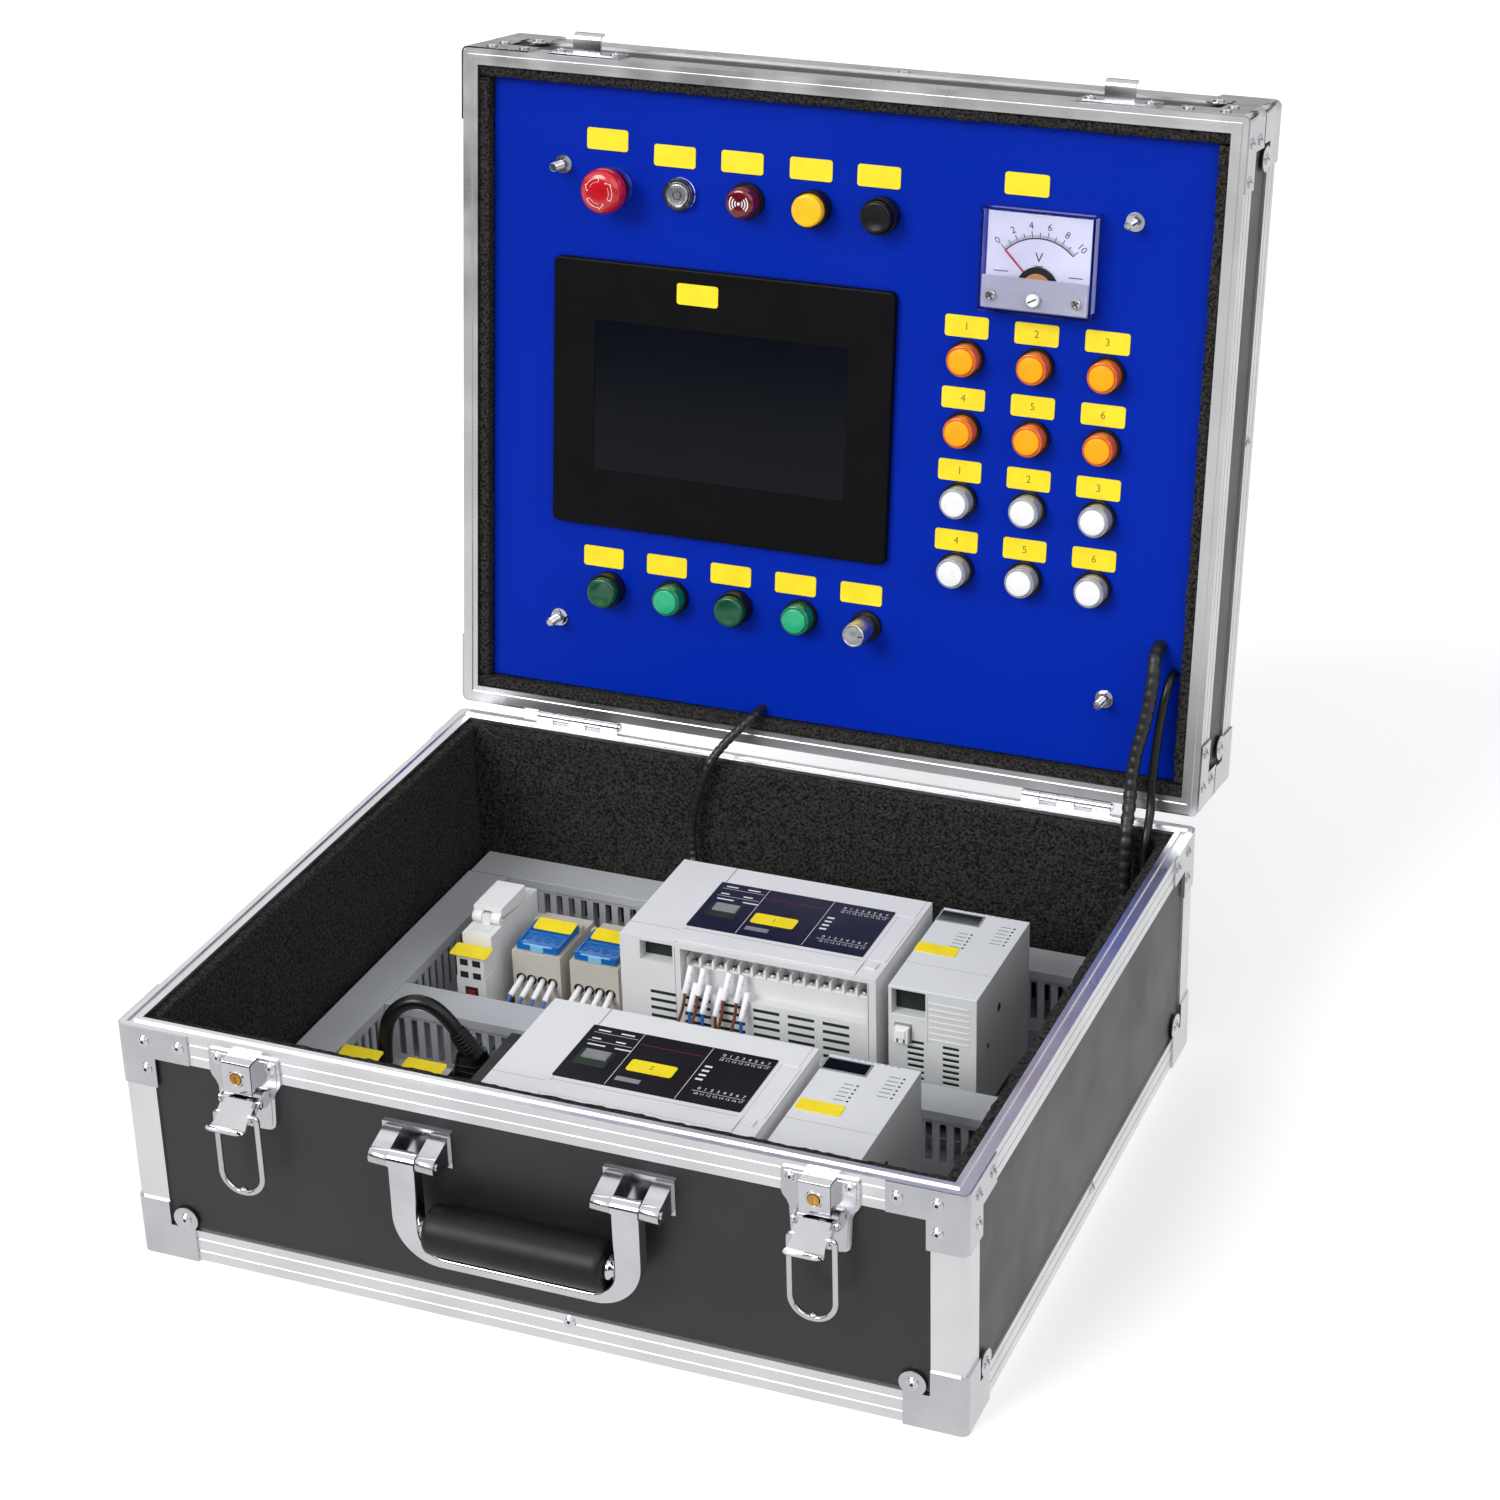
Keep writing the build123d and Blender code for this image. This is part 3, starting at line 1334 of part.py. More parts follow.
def base_parts():
    base_leaves, _ = hinge_leaves()
    latches = [solid for x in (-latch_x, latch_x) for solid in latch_plate(x)]
    handle = [solid for x in (-handle_x, handle_x) for solid in handle_bracket(x)]
    rear = Pos(rear_controller_x, rear_rail_y, seat_z)
    front = Pos(front_controller_x, front_rail_y, seat_z)
    headed = rivet() - disc(rivet_shank_radius + 1, -plate_steel - 1, 0)
    rivet_z = latch_plate_top - latch_rivet_drop
    latch_rivets = [rivet_plane((x + side * latch_rivet_reach, latch_face, rivet_z), (0, -1, 0)) * headed
                    for x in (-latch_x, latch_x) for side in (-1, 1)]
    return {
        "base_panels": tray_panels(base_height),
        "base_frame": tray_frame(base_height, False),
        "base_corners": tray_corners(base_height),
        "base_rivets": tray_rivets(base_height) + solids_of(latch_rivets),
        "base_foam_lining": tray_foam(base_height) + [floor_foam_sheet()],
        "mounting_plate": mounting_plate(),
        "wiring_ducts": [place * duct_channel(length) for place, length in duct_places()],
        "duct_covers": [place * duct_lid(length) for place, length in duct_places()],
        "fuse_holder_body": fuse_holder(),
        "fuse_lever": [fuse_lever()],
        "distribution_blocks": [distribution_block(x) for x in block_places],
        "block_cover_left": [block_cover(block_places[0])],
        "block_cover_right": [block_cover(block_places[1])],
        "controller_bodies": [rear * controller_body(), front * controller_body()],
        "controller_1_cover": [rear * controller_cover()],
        "controller_2_cover": [front * controller_cover()],
        "expansion_modules": [Pos(rear_module_x, rear_rail_y, seat_z) * module_body(),
                              Pos(front_module_x, front_rail_y, seat_z) * module_body()],
        "network_switch": [network_switch()],
        "power_supply": power_supply(),
        "power_plug": [power_plug()],
        "power_lead": [power_lead()],
        "control_wires": control_wires(),
        "hinge_base_leaves": base_leaves,
        "hinge_pins": hinge_pins(),
        "latch_plates": latches,
        "handle_brackets": handle,
        "handle_frame": [handle_frame()],
        "handle_grip": [handle_grip()],
    }


def latch_parts():
    parts = {}
    for side, x in (("left", -latch_x), ("right", latch_x)):
        parts[f"latch_lever_{side}"] = [latch_lever(x)]
        parts[f"latch_bail_{side}"] = [latch_bail(x)]
        parts[f"lock_barrel_{side}"] = [lock_barrel(x)]
    return parts


def lid_parts():
    _, lid_leaves = hinge_leaves()
    housings = [at_panel(u, v) * piece for u, v, make in housing_places() for piece in make()]
    lenses = {name: [at_panel(u, v) * lens() for u, v in places] for name, places in lens_places().items()}
    small_cap = push_cap(button_radius, 4.5, button_height, stem_radius, 1.0)
    power_cap = push_cap(power_cap_radius, 3.6, power_cap_height, stem_radius, 0.5)
    return {
        "lid_panels": [lid_tray_place * piece for piece in tray_panels(lid_depth)],
        "lid_frame": [lid_tray_place * piece for piece in tray_frame(lid_depth, True)],
        "lid_corners": [lid_tray_place * piece for piece in tray_corners(lid_depth)],
        "lid_rivets": [lid_tray_place * piece for piece in tray_rivets(lid_depth)],
        "lid_foam_lining": [lid_tray_place * piece for piece in tray_foam(lid_depth)],
        "latch_keepers": [lid_tray_place * latch_keeper(x) for x in (-latch_x, latch_x)],
        "hinge_lid_leaves": lid_leaves,
        "lid_cables": lid_cables(),
        "control_panel": [control_panel()],
        "panel_studs": panel_studs(),
        "operator_panel": [operator_panel()],
        "operator_screen": [operator_screen()],
        "meter_case": [meter_case()],
        "meter_dial": [meter_dial()],
        "meter_needle": [meter_needle()],
        "device_housings": housings,
        **lenses,
        "estop_button": [at_panel(column_u(0), upper_row_v) * stop_button()],
        "power_button": [at_panel(column_u(1), upper_row_v) * power_cap],
        "silence_button": [at_panel(column_u(3), upper_row_v) * small_cap],
        "reset_button": [at_panel(column_u(4), upper_row_v) * small_cap],
        "link_button_1": [at_panel(column_u(0), lower_row_v) * small_cap],
        "link_button_2": [at_panel(column_u(2), lower_row_v) * small_cap],
        "potentiometer_knob": [at_panel(column_u(4), lower_row_v) * knob()],
    }


os.makedirs("parts", exist_ok=True)
nodes = {**base_parts(), **latch_parts(), **lid_parts()}
for name, pieces in nodes.items():
    export_step(Compound(solids_of(pieces)), f"parts/{name}.step")
print(len(nodes), "nodes written")
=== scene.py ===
import math

import bmesh
import bpy
from mathutils import Matrix, Vector, noise


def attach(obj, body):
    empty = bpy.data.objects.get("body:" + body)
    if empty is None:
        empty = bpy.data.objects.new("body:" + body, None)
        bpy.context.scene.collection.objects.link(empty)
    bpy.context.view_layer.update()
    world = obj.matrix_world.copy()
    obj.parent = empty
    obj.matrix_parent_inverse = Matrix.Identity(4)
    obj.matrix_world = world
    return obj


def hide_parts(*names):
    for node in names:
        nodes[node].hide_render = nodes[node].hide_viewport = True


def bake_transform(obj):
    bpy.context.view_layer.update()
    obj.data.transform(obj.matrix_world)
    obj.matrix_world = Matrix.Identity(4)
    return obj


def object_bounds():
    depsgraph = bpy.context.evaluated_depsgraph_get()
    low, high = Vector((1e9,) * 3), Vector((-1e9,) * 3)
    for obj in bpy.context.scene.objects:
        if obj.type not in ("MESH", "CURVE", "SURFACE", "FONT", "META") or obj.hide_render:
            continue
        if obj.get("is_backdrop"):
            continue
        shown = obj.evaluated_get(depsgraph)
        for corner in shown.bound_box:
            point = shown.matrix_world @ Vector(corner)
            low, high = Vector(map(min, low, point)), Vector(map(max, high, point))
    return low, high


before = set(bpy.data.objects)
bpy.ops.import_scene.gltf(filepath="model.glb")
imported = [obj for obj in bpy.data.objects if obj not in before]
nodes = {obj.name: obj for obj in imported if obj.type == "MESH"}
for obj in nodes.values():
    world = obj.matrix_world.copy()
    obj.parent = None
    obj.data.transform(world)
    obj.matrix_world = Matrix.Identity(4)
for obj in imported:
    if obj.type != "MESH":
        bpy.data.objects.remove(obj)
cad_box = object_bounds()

# Looks for the teaching case. Shapes are worked out in millimetres in the frame of the CAD model
# and scaled to metres when a mesh is finished.

noise.seed_set(7)
collection = bpy.context.scene.collection
to_metres = Matrix.Scale(0.001, 4)


# Camera

camera_data = bpy.data.cameras.new("camera")
camera_data.sensor_width = 36.0
camera_data.lens = 80.25
camera_data.shift_x = -0.0496
camera_data.shift_y = 0.0091
camera_data.clip_start = 0.05
camera_data.clip_end = 60.0
camera = bpy.data.objects.new("camera", camera_data)
camera.location = (0.64097, -1.40297, 1.00628)
camera.rotation_euler = [math.radians(angle) for angle in (63.217, 0.848, 21.278)]
collection.objects.link(camera)
bpy.context.scene.camera = camera


# Places

lid_sine, lid_cosine = 0.13554, 0.99077
lid_edge_y, lid_edge_z = 194.2055, 143.7243


def on_lid(u, v, h):
    """A point of the open lid: across, up from the hinge edge, and out from the rim's plane."""
    return (u, lid_edge_y + lid_sine * v - lid_cosine * h, lid_edge_z + lid_cosine * v + lid_sine * h)


def lid_place(u, v, h):
    """The frame of something that stands on the lid, with z pointing out of it."""
    place = Matrix(((1, 0, 0), (0, lid_sine, -lid_cosine), (0, lid_cosine, lid_sine))).to_4x4()
    place.translation = on_lid(u, v, h)
    return place


def at(x, y, z):
    return Matrix.Translation((x, y, z))


def in_metres(point):
    return [value * 0.001 for value in point]


facing_front = Matrix(((1, 0, 0), (0, 0, -1), (0, 1, 0))).to_4x4()
facing_right = Matrix(((0, 0, 1), (1, 0, 0), (0, 1, 0))).to_4x4()


# Materials

def srgb(red, green, blue):
    """A linear colour from its 0 to 255 values."""
    values = []
    for value in (red, green, blue):
        share = value / 255
        values.append(share / 12.92 if share <= 0.04045 else ((share + 0.055) / 1.055) ** 2.4)
    return (*values, 1.0)


def add_node(tree, kind, **inputs):
    """A shader node with the named inputs set; an underscore stands for a space."""
    node = tree.nodes.new("ShaderNode" + kind)
    for key, value in inputs.items():
        node.inputs[key.replace("_", " ")].default_value = value
    return node


def material_of(name, dark, light, patch=30.0, rough=(0.35, 0.5), rough_scale=60.0, metallic=0.0,
                relief=None, detail=4.0, contrast=0.25, **sockets):
    """A surface whose colour and roughness drift between two values.

    A relief is given as its strength, its scale and its depth in millimetres.
    """
    material = bpy.data.materials.new(name)
    material.use_nodes = True
    tree = material.node_tree
    shader = tree.nodes["Principled BSDF"]
    shader.inputs["Metallic"].default_value = metallic
    for socket, value in sockets.items():
        shader.inputs[socket.replace("_", " ")].default_value = value
    where = add_node(tree, "TexCoord")

    def cloud(scale, details):
        node = add_node(tree, "TexNoise", Scale=scale, Detail=details)
        tree.links.new(where.outputs["Object"], node.inputs["Vector"])
        return node.outputs["Fac"]

    ramp = add_node(tree, "ValToRGB")
    ramp.color_ramp.elements[0].position = 0.5 - contrast
    ramp.color_ramp.elements[0].color = srgb(*dark)
    ramp.color_ramp.elements[1].position = 0.5 + contrast
    ramp.color_ramp.elements[1].color = srgb(*light)
    tree.links.new(cloud(patch, detail), ramp.inputs["Fac"])
    tree.links.new(ramp.outputs["Color"], shader.inputs["Base Color"])
    ranging = add_node(tree, "MapRange", From_Min=0.3, From_Max=0.7, To_Min=rough[0], To_Max=rough[1])
    tree.links.new(cloud(rough_scale, 3.0), ranging.inputs["Value"])
    tree.links.new(ranging.outputs["Result"], shader.inputs["Roughness"])
    if relief:
        strength, scale, depth = relief
        bump = add_node(tree, "Bump", Strength=strength, Distance=depth * 0.001)
        tree.links.new(cloud(scale, 2.0), bump.inputs["Height"])
        tree.links.new(bump.outputs["Normal"], shader.inputs["Normal"])
    return material


laminate = material_of("laminate", (26, 26, 28), (34, 34, 36), patch=18, rough=(0.36, 0.46), rough_scale=25,
                       Specular_IOR_Level=0.5, relief=(0.35, 1500, 0.12))
aluminium = material_of("aluminium", (214, 215, 217), (230, 231, 233), patch=22, rough=(0.26, 0.38),
                        rough_scale=35, metallic=1.0, relief=(0.12, 700, 0.05))
nickel = material_of("nickel", (186, 187, 190), (208, 209, 212), patch=26, rough=(0.14, 0.24),
                     rough_scale=40, metallic=1.0, relief=(0.08, 420, 0.06))
rivet_metal = material_of("rivet_metal", (190, 191, 194), (222, 223, 226), patch=90, rough=(0.16, 0.28),
                          metallic=1.0, relief=(0.1, 900, 0.05))
chrome = material_of("chrome", (200, 200, 204), (222, 222, 226), patch=30, rough=(0.06, 0.12),
                     rough_scale=50, metallic=1.0, relief=(0.05, 260, 0.05))
brushed = material_of("brushed", (196, 197, 200), (228, 229, 232), patch=160, rough=(0.2, 0.34),
                      metallic=1.0, relief=(0.2, 1400, 0.05))
brass = material_of("brass", (170, 120, 48), (214, 164, 82), patch=120, rough=(0.2, 0.34), metallic=1.0,
                    relief=(0.1, 900, 0.05))
zinc = material_of("zinc", (166, 168, 172), (196, 198, 202), patch=34, rough=(0.3, 0.46), metallic=0.9,
                   contrast=0.12, relief=(0.15, 600, 0.08))
duct_grey = material_of("duct_grey", (178, 180, 183), (190, 192, 195), patch=14, rough=(0.42, 0.55),
                        relief=(0.25, 1100, 0.08))
body_grey = material_of("body_grey", (214, 214, 214), (223, 223, 223), patch=16, rough=(0.46, 0.58),
                        relief=(0.35, 2200, 0.08))
module_grey = material_of("module_grey", (208, 209, 209), (217, 218, 218), patch=16, rough=(0.46, 0.58),
                          relief=(0.35, 2200, 0.08))
cover_grey = material_of("cover_grey", (217, 217, 217), (225, 225, 225), patch=16, rough=(0.44, 0.56),
                         relief=(0.35, 2200, 0.08))
white_plastic = material_of("white_plastic", (230, 230, 228), (240, 240, 238), patch=30, rough=(0.35, 0.48),
                            relief=(0.2, 1600, 0.06))
cream_plastic = material_of("cream_plastic", (190, 184, 172), (206, 201, 190), patch=30, rough=(0.4, 0.52),
                            relief=(0.2, 1600, 0.06))
black_plastic = material_of("black_plastic", (10, 10, 12), (17, 17, 19), patch=40, rough=(0.3, 0.42),
                            Specular_IOR_Level=0.25, relief=(0.25, 1800, 0.08))
bezel_black = material_of("bezel_black", (7, 7, 9), (11, 11, 13), patch=25, rough=(0.36, 0.44),
                          Specular_IOR_Level=0.1, relief=(0.3, 2600, 0.08))
grip_black = material_of("grip_black", (13, 13, 14), (20, 20, 21), patch=40, rough=(0.4, 0.5),
                         Specular_IOR_Level=0.3, relief=(0.35, 700, 0.2))
rubber = material_of("rubber", (9, 9, 10), (16, 16, 17), patch=60, rough=(0.26, 0.4),
                     Specular_IOR_Level=0.35, relief=(0.2, 1200, 0.08))
wrap_black = material_of("wrap_black", (16, 16, 17), (34, 34, 36), patch=300, rough=(0.32, 0.5),
                         relief=(0.3, 1500, 0.1))
panel_blue = material_of("panel_blue", (0, 33, 150), (0, 39, 164), patch=2.5, rough=(0.3, 0.38),
                         rough_scale=12, detail=1.0, contrast=0.5, Specular_IOR_Level=0.07,
                         relief=(0.12, 500, 0.08))
screen_glass = material_of("screen_glass", (6, 9, 16), (10, 14, 22), patch=4, rough=(0.1, 0.16),
                           rough_scale=9, detail=1.0, contrast=0.5, Specular_IOR_Level=0.16)
label_yellow = material_of("label_yellow", (233, 208, 12), (246, 222, 22), patch=90, rough=(0.42, 0.55),
                           relief=(0.1, 900, 0.05))
ink_olive = material_of("ink_olive", (112, 100, 24), (140, 126, 34), patch=200, rough=(0.5, 0.6))
ink_white = material_of("ink_white", (214, 214, 216), (232, 232, 234), patch=300, rough=(0.5, 0.6))
# Black for print, and also painted shade in screw slots, rivet holes and openings.
black_print_and_painted_shade = material_of("black_print_and_painted_shade", (22, 22, 26), (36, 36, 40), patch=300, rough=(0.5, 0.6))
ink_red = material_of("ink_red", (150, 22, 26), (176, 34, 36), patch=300, rough=(0.5, 0.6))
face_navy = material_of("face_navy", (12, 10, 36), (17, 15, 44), patch=20, rough=(0.3, 0.4),
                        Specular_IOR_Level=0.15, relief=(0.15, 2000, 0.05))
face_black = material_of("face_black", (22, 20, 22), (29, 26, 28), patch=20, rough=(0.3, 0.4),
                         Specular_IOR_Level=0.15, relief=(0.15, 2000, 0.05))
# Painted shade: a dark, green-tinted colour laid in slots, ports, vent holes and openings.
painted_shade_dark = material_of("painted_shade_dark", (6, 12, 9), (20, 44, 30), patch=90, rough=(0.6, 0.8))
hatch_grey = material_of("hatch_grey", (120, 122, 124), (142, 144, 146), patch=60, rough=(0.35, 0.5))
sleeve_white = material_of("sleeve_white", (238, 236, 242), (248, 246, 250), patch=120, rough=(0.4, 0.52),
                           relief=(0.15, 900, 0.06))
wire_blue = material_of("wire_blue", (20, 92, 168), (34, 112, 192), patch=120, rough=(0.36, 0.48))
wire_brown = material_of("wire_brown", (92, 50, 30), (122, 70, 44), patch=120, rough=(0.36, 0.48))
stop_red = material_of("stop_red", (176, 10, 24), (198, 18, 34), patch=60, rough=(0.16, 0.26),
                       Coat_Weight=0.5, Coat_Roughness=0.08)
alarm_red = material_of("alarm_red", (74, 2, 14), (108, 6, 22), patch=90, rough=(0.1, 0.18),
                        Coat_Weight=0.6, Coat_Roughness=0.05)
cap_yellow = material_of("cap_yellow", (240, 178, 6), (252, 194, 14), patch=60, rough=(0.28, 0.38))
cap_green = material_of("cap_green", (4, 66, 40), (8, 84, 52), patch=60, rough=(0.24, 0.34),
                        Coat_Weight=0.3, Coat_Roughness=0.1)
lamp_green = material_of("lamp_green", (22, 158, 108), (40, 178, 124), patch=120, rough=(0.3, 0.4),
                         Coat_Weight=0.4, Coat_Roughness=0.1)
# A darker copy of the green lens colour for the glossy clear sides: painted shade.
lamp_green_shaded_side = material_of("lamp_green_shaded_side", (6, 98, 62), (12, 122, 80), patch=120, rough=(0.14, 0.22),
                              Coat_Weight=0.6, Coat_Roughness=0.06)
amber = material_of("amber", (248, 156, 2), (255, 168, 4), patch=160, rough=(0.34, 0.44),
                    Specular_IOR_Level=0.3)
# A darker copy of the amber for the glossy clear sides: painted shade.
amber_shaded_side = material_of("amber_shaded_side", (196, 78, 2), (222, 104, 4), patch=160, rough=(0.12, 0.2),
                         Coat_Weight=0.6, Coat_Roughness=0.05)
lamp_white = material_of("lamp_white", (226, 226, 228), (238, 238, 240), patch=160, rough=(0.32, 0.42),
                         Coat_Weight=0.3, Coat_Roughness=0.12)
# A grey copy of the white lens colour for the glossy clear sides: painted shade.
lamp_white_shaded_side = material_of("lamp_white_shaded_side", (128, 128, 134), (164, 164, 170), patch=200,
                              rough=(0.1, 0.18), Coat_Weight=0.6, Coat_Roughness=0.05)
dial_paper = material_of("dial_paper", (234, 239, 246), (242, 246, 252), patch=40, rough=(0.5, 0.6))
meter_clear = material_of("meter_clear", (236, 234, 248), (246, 244, 255), patch=40, rough=(0.03, 0.07),
                          Transmission_Weight=1.0, IOR=1.2)
frosted = material_of("frosted", (206, 208, 222), (226, 228, 240), patch=60, rough=(0.3, 0.4),
                      Transmission_Weight=0.2, IOR=1.3)
needle_red = material_of("needle_red", (186, 24, 22), (206, 40, 34), patch=300, rough=(0.4, 0.5))
clear_blue = material_of("clear_blue", (18, 112, 196), (30, 128, 212), patch=12, rough=(0.1, 0.16),
                         detail=1.0, Transmission_Weight=0.3, IOR=1.3)
pale_blue = material_of("pale_blue", (120, 180, 214), (146, 200, 228), patch=60, rough=(0.3, 0.4))
amber_glow = material_of("amber_glow", (208, 146, 66), (236, 182, 104), patch=200, rough=(0.3, 0.4))


def foam_material():
    """Open-cell foam: a fine speckle of light and dark cells with a strong relief."""
    material = material_of("foam", (6, 6, 6), (56, 54, 51), patch=640, rough=(0.9, 1.0), contrast=0.13,
                           detail=6.0)
    tree = material.node_tree
    shader = tree.nodes["Principled BSDF"]
    shader.inputs["Specular IOR Level"].default_value = 0.2
    where = next(node for node in tree.nodes if node.type == "TEX_COORD")
    cells = add_node(tree, "TexVoronoi", Scale=640.0)
    tree.links.new(where.outputs["Object"], cells.inputs["Vector"])
    relief = add_node(tree, "Bump", Strength=0.9, Distance=0.0009)
    tree.links.new(cells.outputs["Distance"], relief.inputs["Height"])
    tree.links.new(relief.outputs["Normal"], shader.inputs["Normal"])
    return material


foam = foam_material()


# Mesh helpers

def lathe(bm, profile, place=Matrix(), segments=48, index=0, ripple=0.0, ripples=0):
    """A turned form about z from (radius, height) points, open or closed on the axis."""
    rings = []
    for radius, height in profile:
        if radius < 1e-6:
            rings.append([bm.verts.new(place @ Vector((0, 0, height)))])
            continue
        ring = []
        for step in range(segments):
            angle = 2 * math.pi * step / segments
            here = radius * (1 + ripple * math.cos(ripples * angle)) if ripples else radius
            point = Vector((here * math.cos(angle), here * math.sin(angle), height))
            ring.append(bm.verts.new(place @ point))
        rings.append(ring)
    for lower, upper in zip(rings, rings[1:]):
        for step in range(segments):
            after = (step + 1) % segments
            if len(lower) == 1 and len(upper) == 1:
                break
            if len(lower) == 1:
                corners = [lower[0], upper[after], upper[step]]
            elif len(upper) == 1:
                corners = [lower[step], lower[after], upper[0]]
            else:
                corners = [lower[step], lower[after], upper[after], upper[step]]
            face = bm.faces.new(corners)
            face.material_index = index


def prism(bm, outline, z0, z1, place=Matrix(), index=0):
    """An outline of (x, y) points drawn out from z0 to z1."""
    low = [bm.verts.new(place @ Vector((x, y, z0))) for x, y in outline]
    high = [bm.verts.new(place @ Vector((x, y, z1))) for x, y in outline]
    count = len(outline)
    faces = [bm.faces.new(high), bm.faces.new(low[::-1])]
    for step in range(count):
        after = (step + 1) % count
        faces.append(bm.faces.new([low[step], low[after], high[after], high[step]]))
    for face in faces:
        face.material_index = index


def polar(radius, degrees, x=0.0, y=0.0):
    """The point at a distance and an angle from (x, y)."""
    angle = math.radians(degrees)
    return (x + radius * math.cos(angle), y + radius * math.sin(angle))


def arc_points(radius, start, end, steps, x=0.0, y=0.0):
    """Points along an arc about (x, y)."""
    return [polar(radius, start + (end - start) * step / steps, x, y) for step in range(steps + 1)]


def rounded(width, height, radius, steps=5):
    """The outline of a rounded rectangle about the origin."""
    points = []
    for cx, cy, start in ((1, 1, 0), (-1, 1, 90), (-1, -1, 180), (1, -1, 270)):
        points += arc_points(radius, start, start + 90, steps, cx * (width / 2 - radius),
                             cy * (height / 2 - radius))
    return points


def ring_band(bm, inner, outer, start, end, height, place=Matrix(), index=0, steps=24):
    """A flat piece of a ring, between two angles in degrees."""
    previous = None
    for step in range(steps + 1):
        degrees = start + (end - start) * step / steps
        pair = [bm.verts.new(place @ Vector((*polar(radius, degrees), height)))
                for radius in (inner, outer)]
        if previous:
            face = bm.faces.new([previous[0], previous[1], pair[1], pair[0]])
            face.material_index = index
        previous = pair


def flat(bm, points, height, place=Matrix(), index=0):
    """A thin printed patch."""
    face = bm.faces.new([bm.verts.new(place @ Vector((x, y, height))) for x, y in points])
    face.material_index = index


def line_patch(bm, start, end, width, height, place=Matrix(), index=0):
    """A thin printed line from one point to another."""
    across = Vector((start[1] - end[1], end[0] - start[0])).normalized() * width / 2
    corners = [(start[0] + across.x, start[1] + across.y), (start[0] - across.x, start[1] - across.y),
               (end[0] - across.x, end[1] - across.y), (end[0] + across.x, end[1] + across.y)]
    flat(bm, corners, height, place, index)


def letters(bm, text, size, place, index=0):
    """Flat figures, centred on the place's origin."""
    curve = bpy.data.curves.new("figures", "FONT")
    curve.body = text
    curve.size = size
    curve.align_x = "CENTER"
    curve.align_y = "CENTER"
    curve.resolution_u = 3
    holder = bpy.data.objects.new("figures", curve)
    mesh = bpy.data.meshes.new_from_object(holder)
    mesh.transform(place)
    before = len(bm.faces)
    bm.from_mesh(mesh)
    bm.faces.ensure_lookup_table()
    for face in bm.faces[before:]:
        face.material_index = index
    bpy.data.meshes.remove(mesh)
    bpy.data.objects.remove(holder)
    bpy.data.curves.remove(curve)


def tube(bm, centres, radii, segments):
    """A tube through ring centres, with one radius for each."""
    points = [Vector(point) for point in centres]
    normal = None
    rings = []
    for step, point in enumerate(points):
        ahead = points[min(step + 1, len(points) - 1)] - points[max(step - 1, 0)]
        ahead.normalize()
        if normal is None:
            normal = ahead.orthogonal().normalized()
        normal = (normal - ahead * normal.dot(ahead)).normalized()
        side = ahead.cross(normal)
        ring = []
        for turn in range(segments):
            angle = 2 * math.pi * turn / segments
            outward = normal * math.cos(angle) + side * math.sin(angle)
            ring.append(bm.verts.new(point + outward * radii[step]))
        rings.append(ring)
    for lower, upper in zip(rings, rings[1:]):
        for turn in range(segments):
            after = (turn + 1) % segments
            bm.faces.new([lower[turn], lower[after], upper[after], upper[turn]])
    bm.faces.new(rings[0][::-1])
    bm.faces.new(rings[-1])


def net(bm, rows):
    """Faces between neighbouring rows of vertices."""
    for lower, upper in zip(rows, rows[1:]):
        for step in range(len(lower) - 1):
            bm.faces.new([lower[step], upper[step], upper[step + 1], lower[step + 1]])


def block(bm, x0, x1, y0, y1, z0, z1, place=Matrix(), index=0):
    prism(bm, [(x0, y0), (x1, y0), (x1, y1), (x0, y1)], z0, z1, place, index)


def round_edges(target, width, angle):
    edge = target.modifiers.new("edge", "BEVEL")
    edge.width = width * 0.001
    edge.segments = 2
    edge.limit_method = "ANGLE"
    edge.angle_limit = math.radians(angle)
    edge.harden_normals = True


def finish_piece(name, bm, materials, body, replaces=(), bevel=0.0, angle=35.0, merge=True):
    """Turns a form drawn in millimetres into a piece that rides on a body."""
    if merge:
        bmesh.ops.remove_doubles(bm, verts=bm.verts, dist=1e-4)
        bmesh.ops.recalc_face_normals(bm, faces=bm.faces)
    mesh = bpy.data.meshes.new(name)
    bm.to_mesh(mesh)
    bm.free()
    mesh.transform(to_metres)
    for material in materials if isinstance(materials, (list, tuple)) else [materials]:
        mesh.materials.append(material)
    mesh.shade_smooth()
    mesh.set_sharp_from_angle(angle=math.radians(angle))
    piece = bpy.data.objects.new(name, mesh)
    collection.objects.link(piece)
    if bevel > 0:
        round_edges(piece, bevel, 40)
    if body:
        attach(piece, body)
    if replaces:
        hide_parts(*replaces)
    return piece


# Cords

def nurbs_curve(name, points, radius):
    """A round cord on one smooth spline with the route's points as its control points."""
    data = bpy.data.curves.new(name, "CURVE")
    data.dimensions = "3D"
    data.resolution_u = 16
    spline = data.splines.new("NURBS")
    spline.points.add(len(points) - 1)
    for target, point in zip(spline.points, points):
        target.co = (*in_metres(point), 1.0)
    spline.order_u = 3
    spline.use_endpoint_u = True
    data.bevel_depth = radius * 0.001
    data.bevel_resolution = 6
    data.use_fill_caps = True
    curve = bpy.data.objects.new(name, data)
    collection.objects.link(curve)
    return curve


def spline_points(points):
    """Points along the route's smooth spline, in metres."""
    curve = nurbs_curve("route", points, 0.0)
    mesh = bpy.data.meshes.new_from_object(curve)
    path = [vertex.co.copy() for vertex in mesh.vertices]
    data = curve.data
    bpy.data.objects.remove(curve)
    bpy.data.curves.remove(data)
    bpy.data.meshes.remove(mesh)
    return path


def length_of(path):
    return sum((after - before).length for before, after in zip(path, path[1:]))


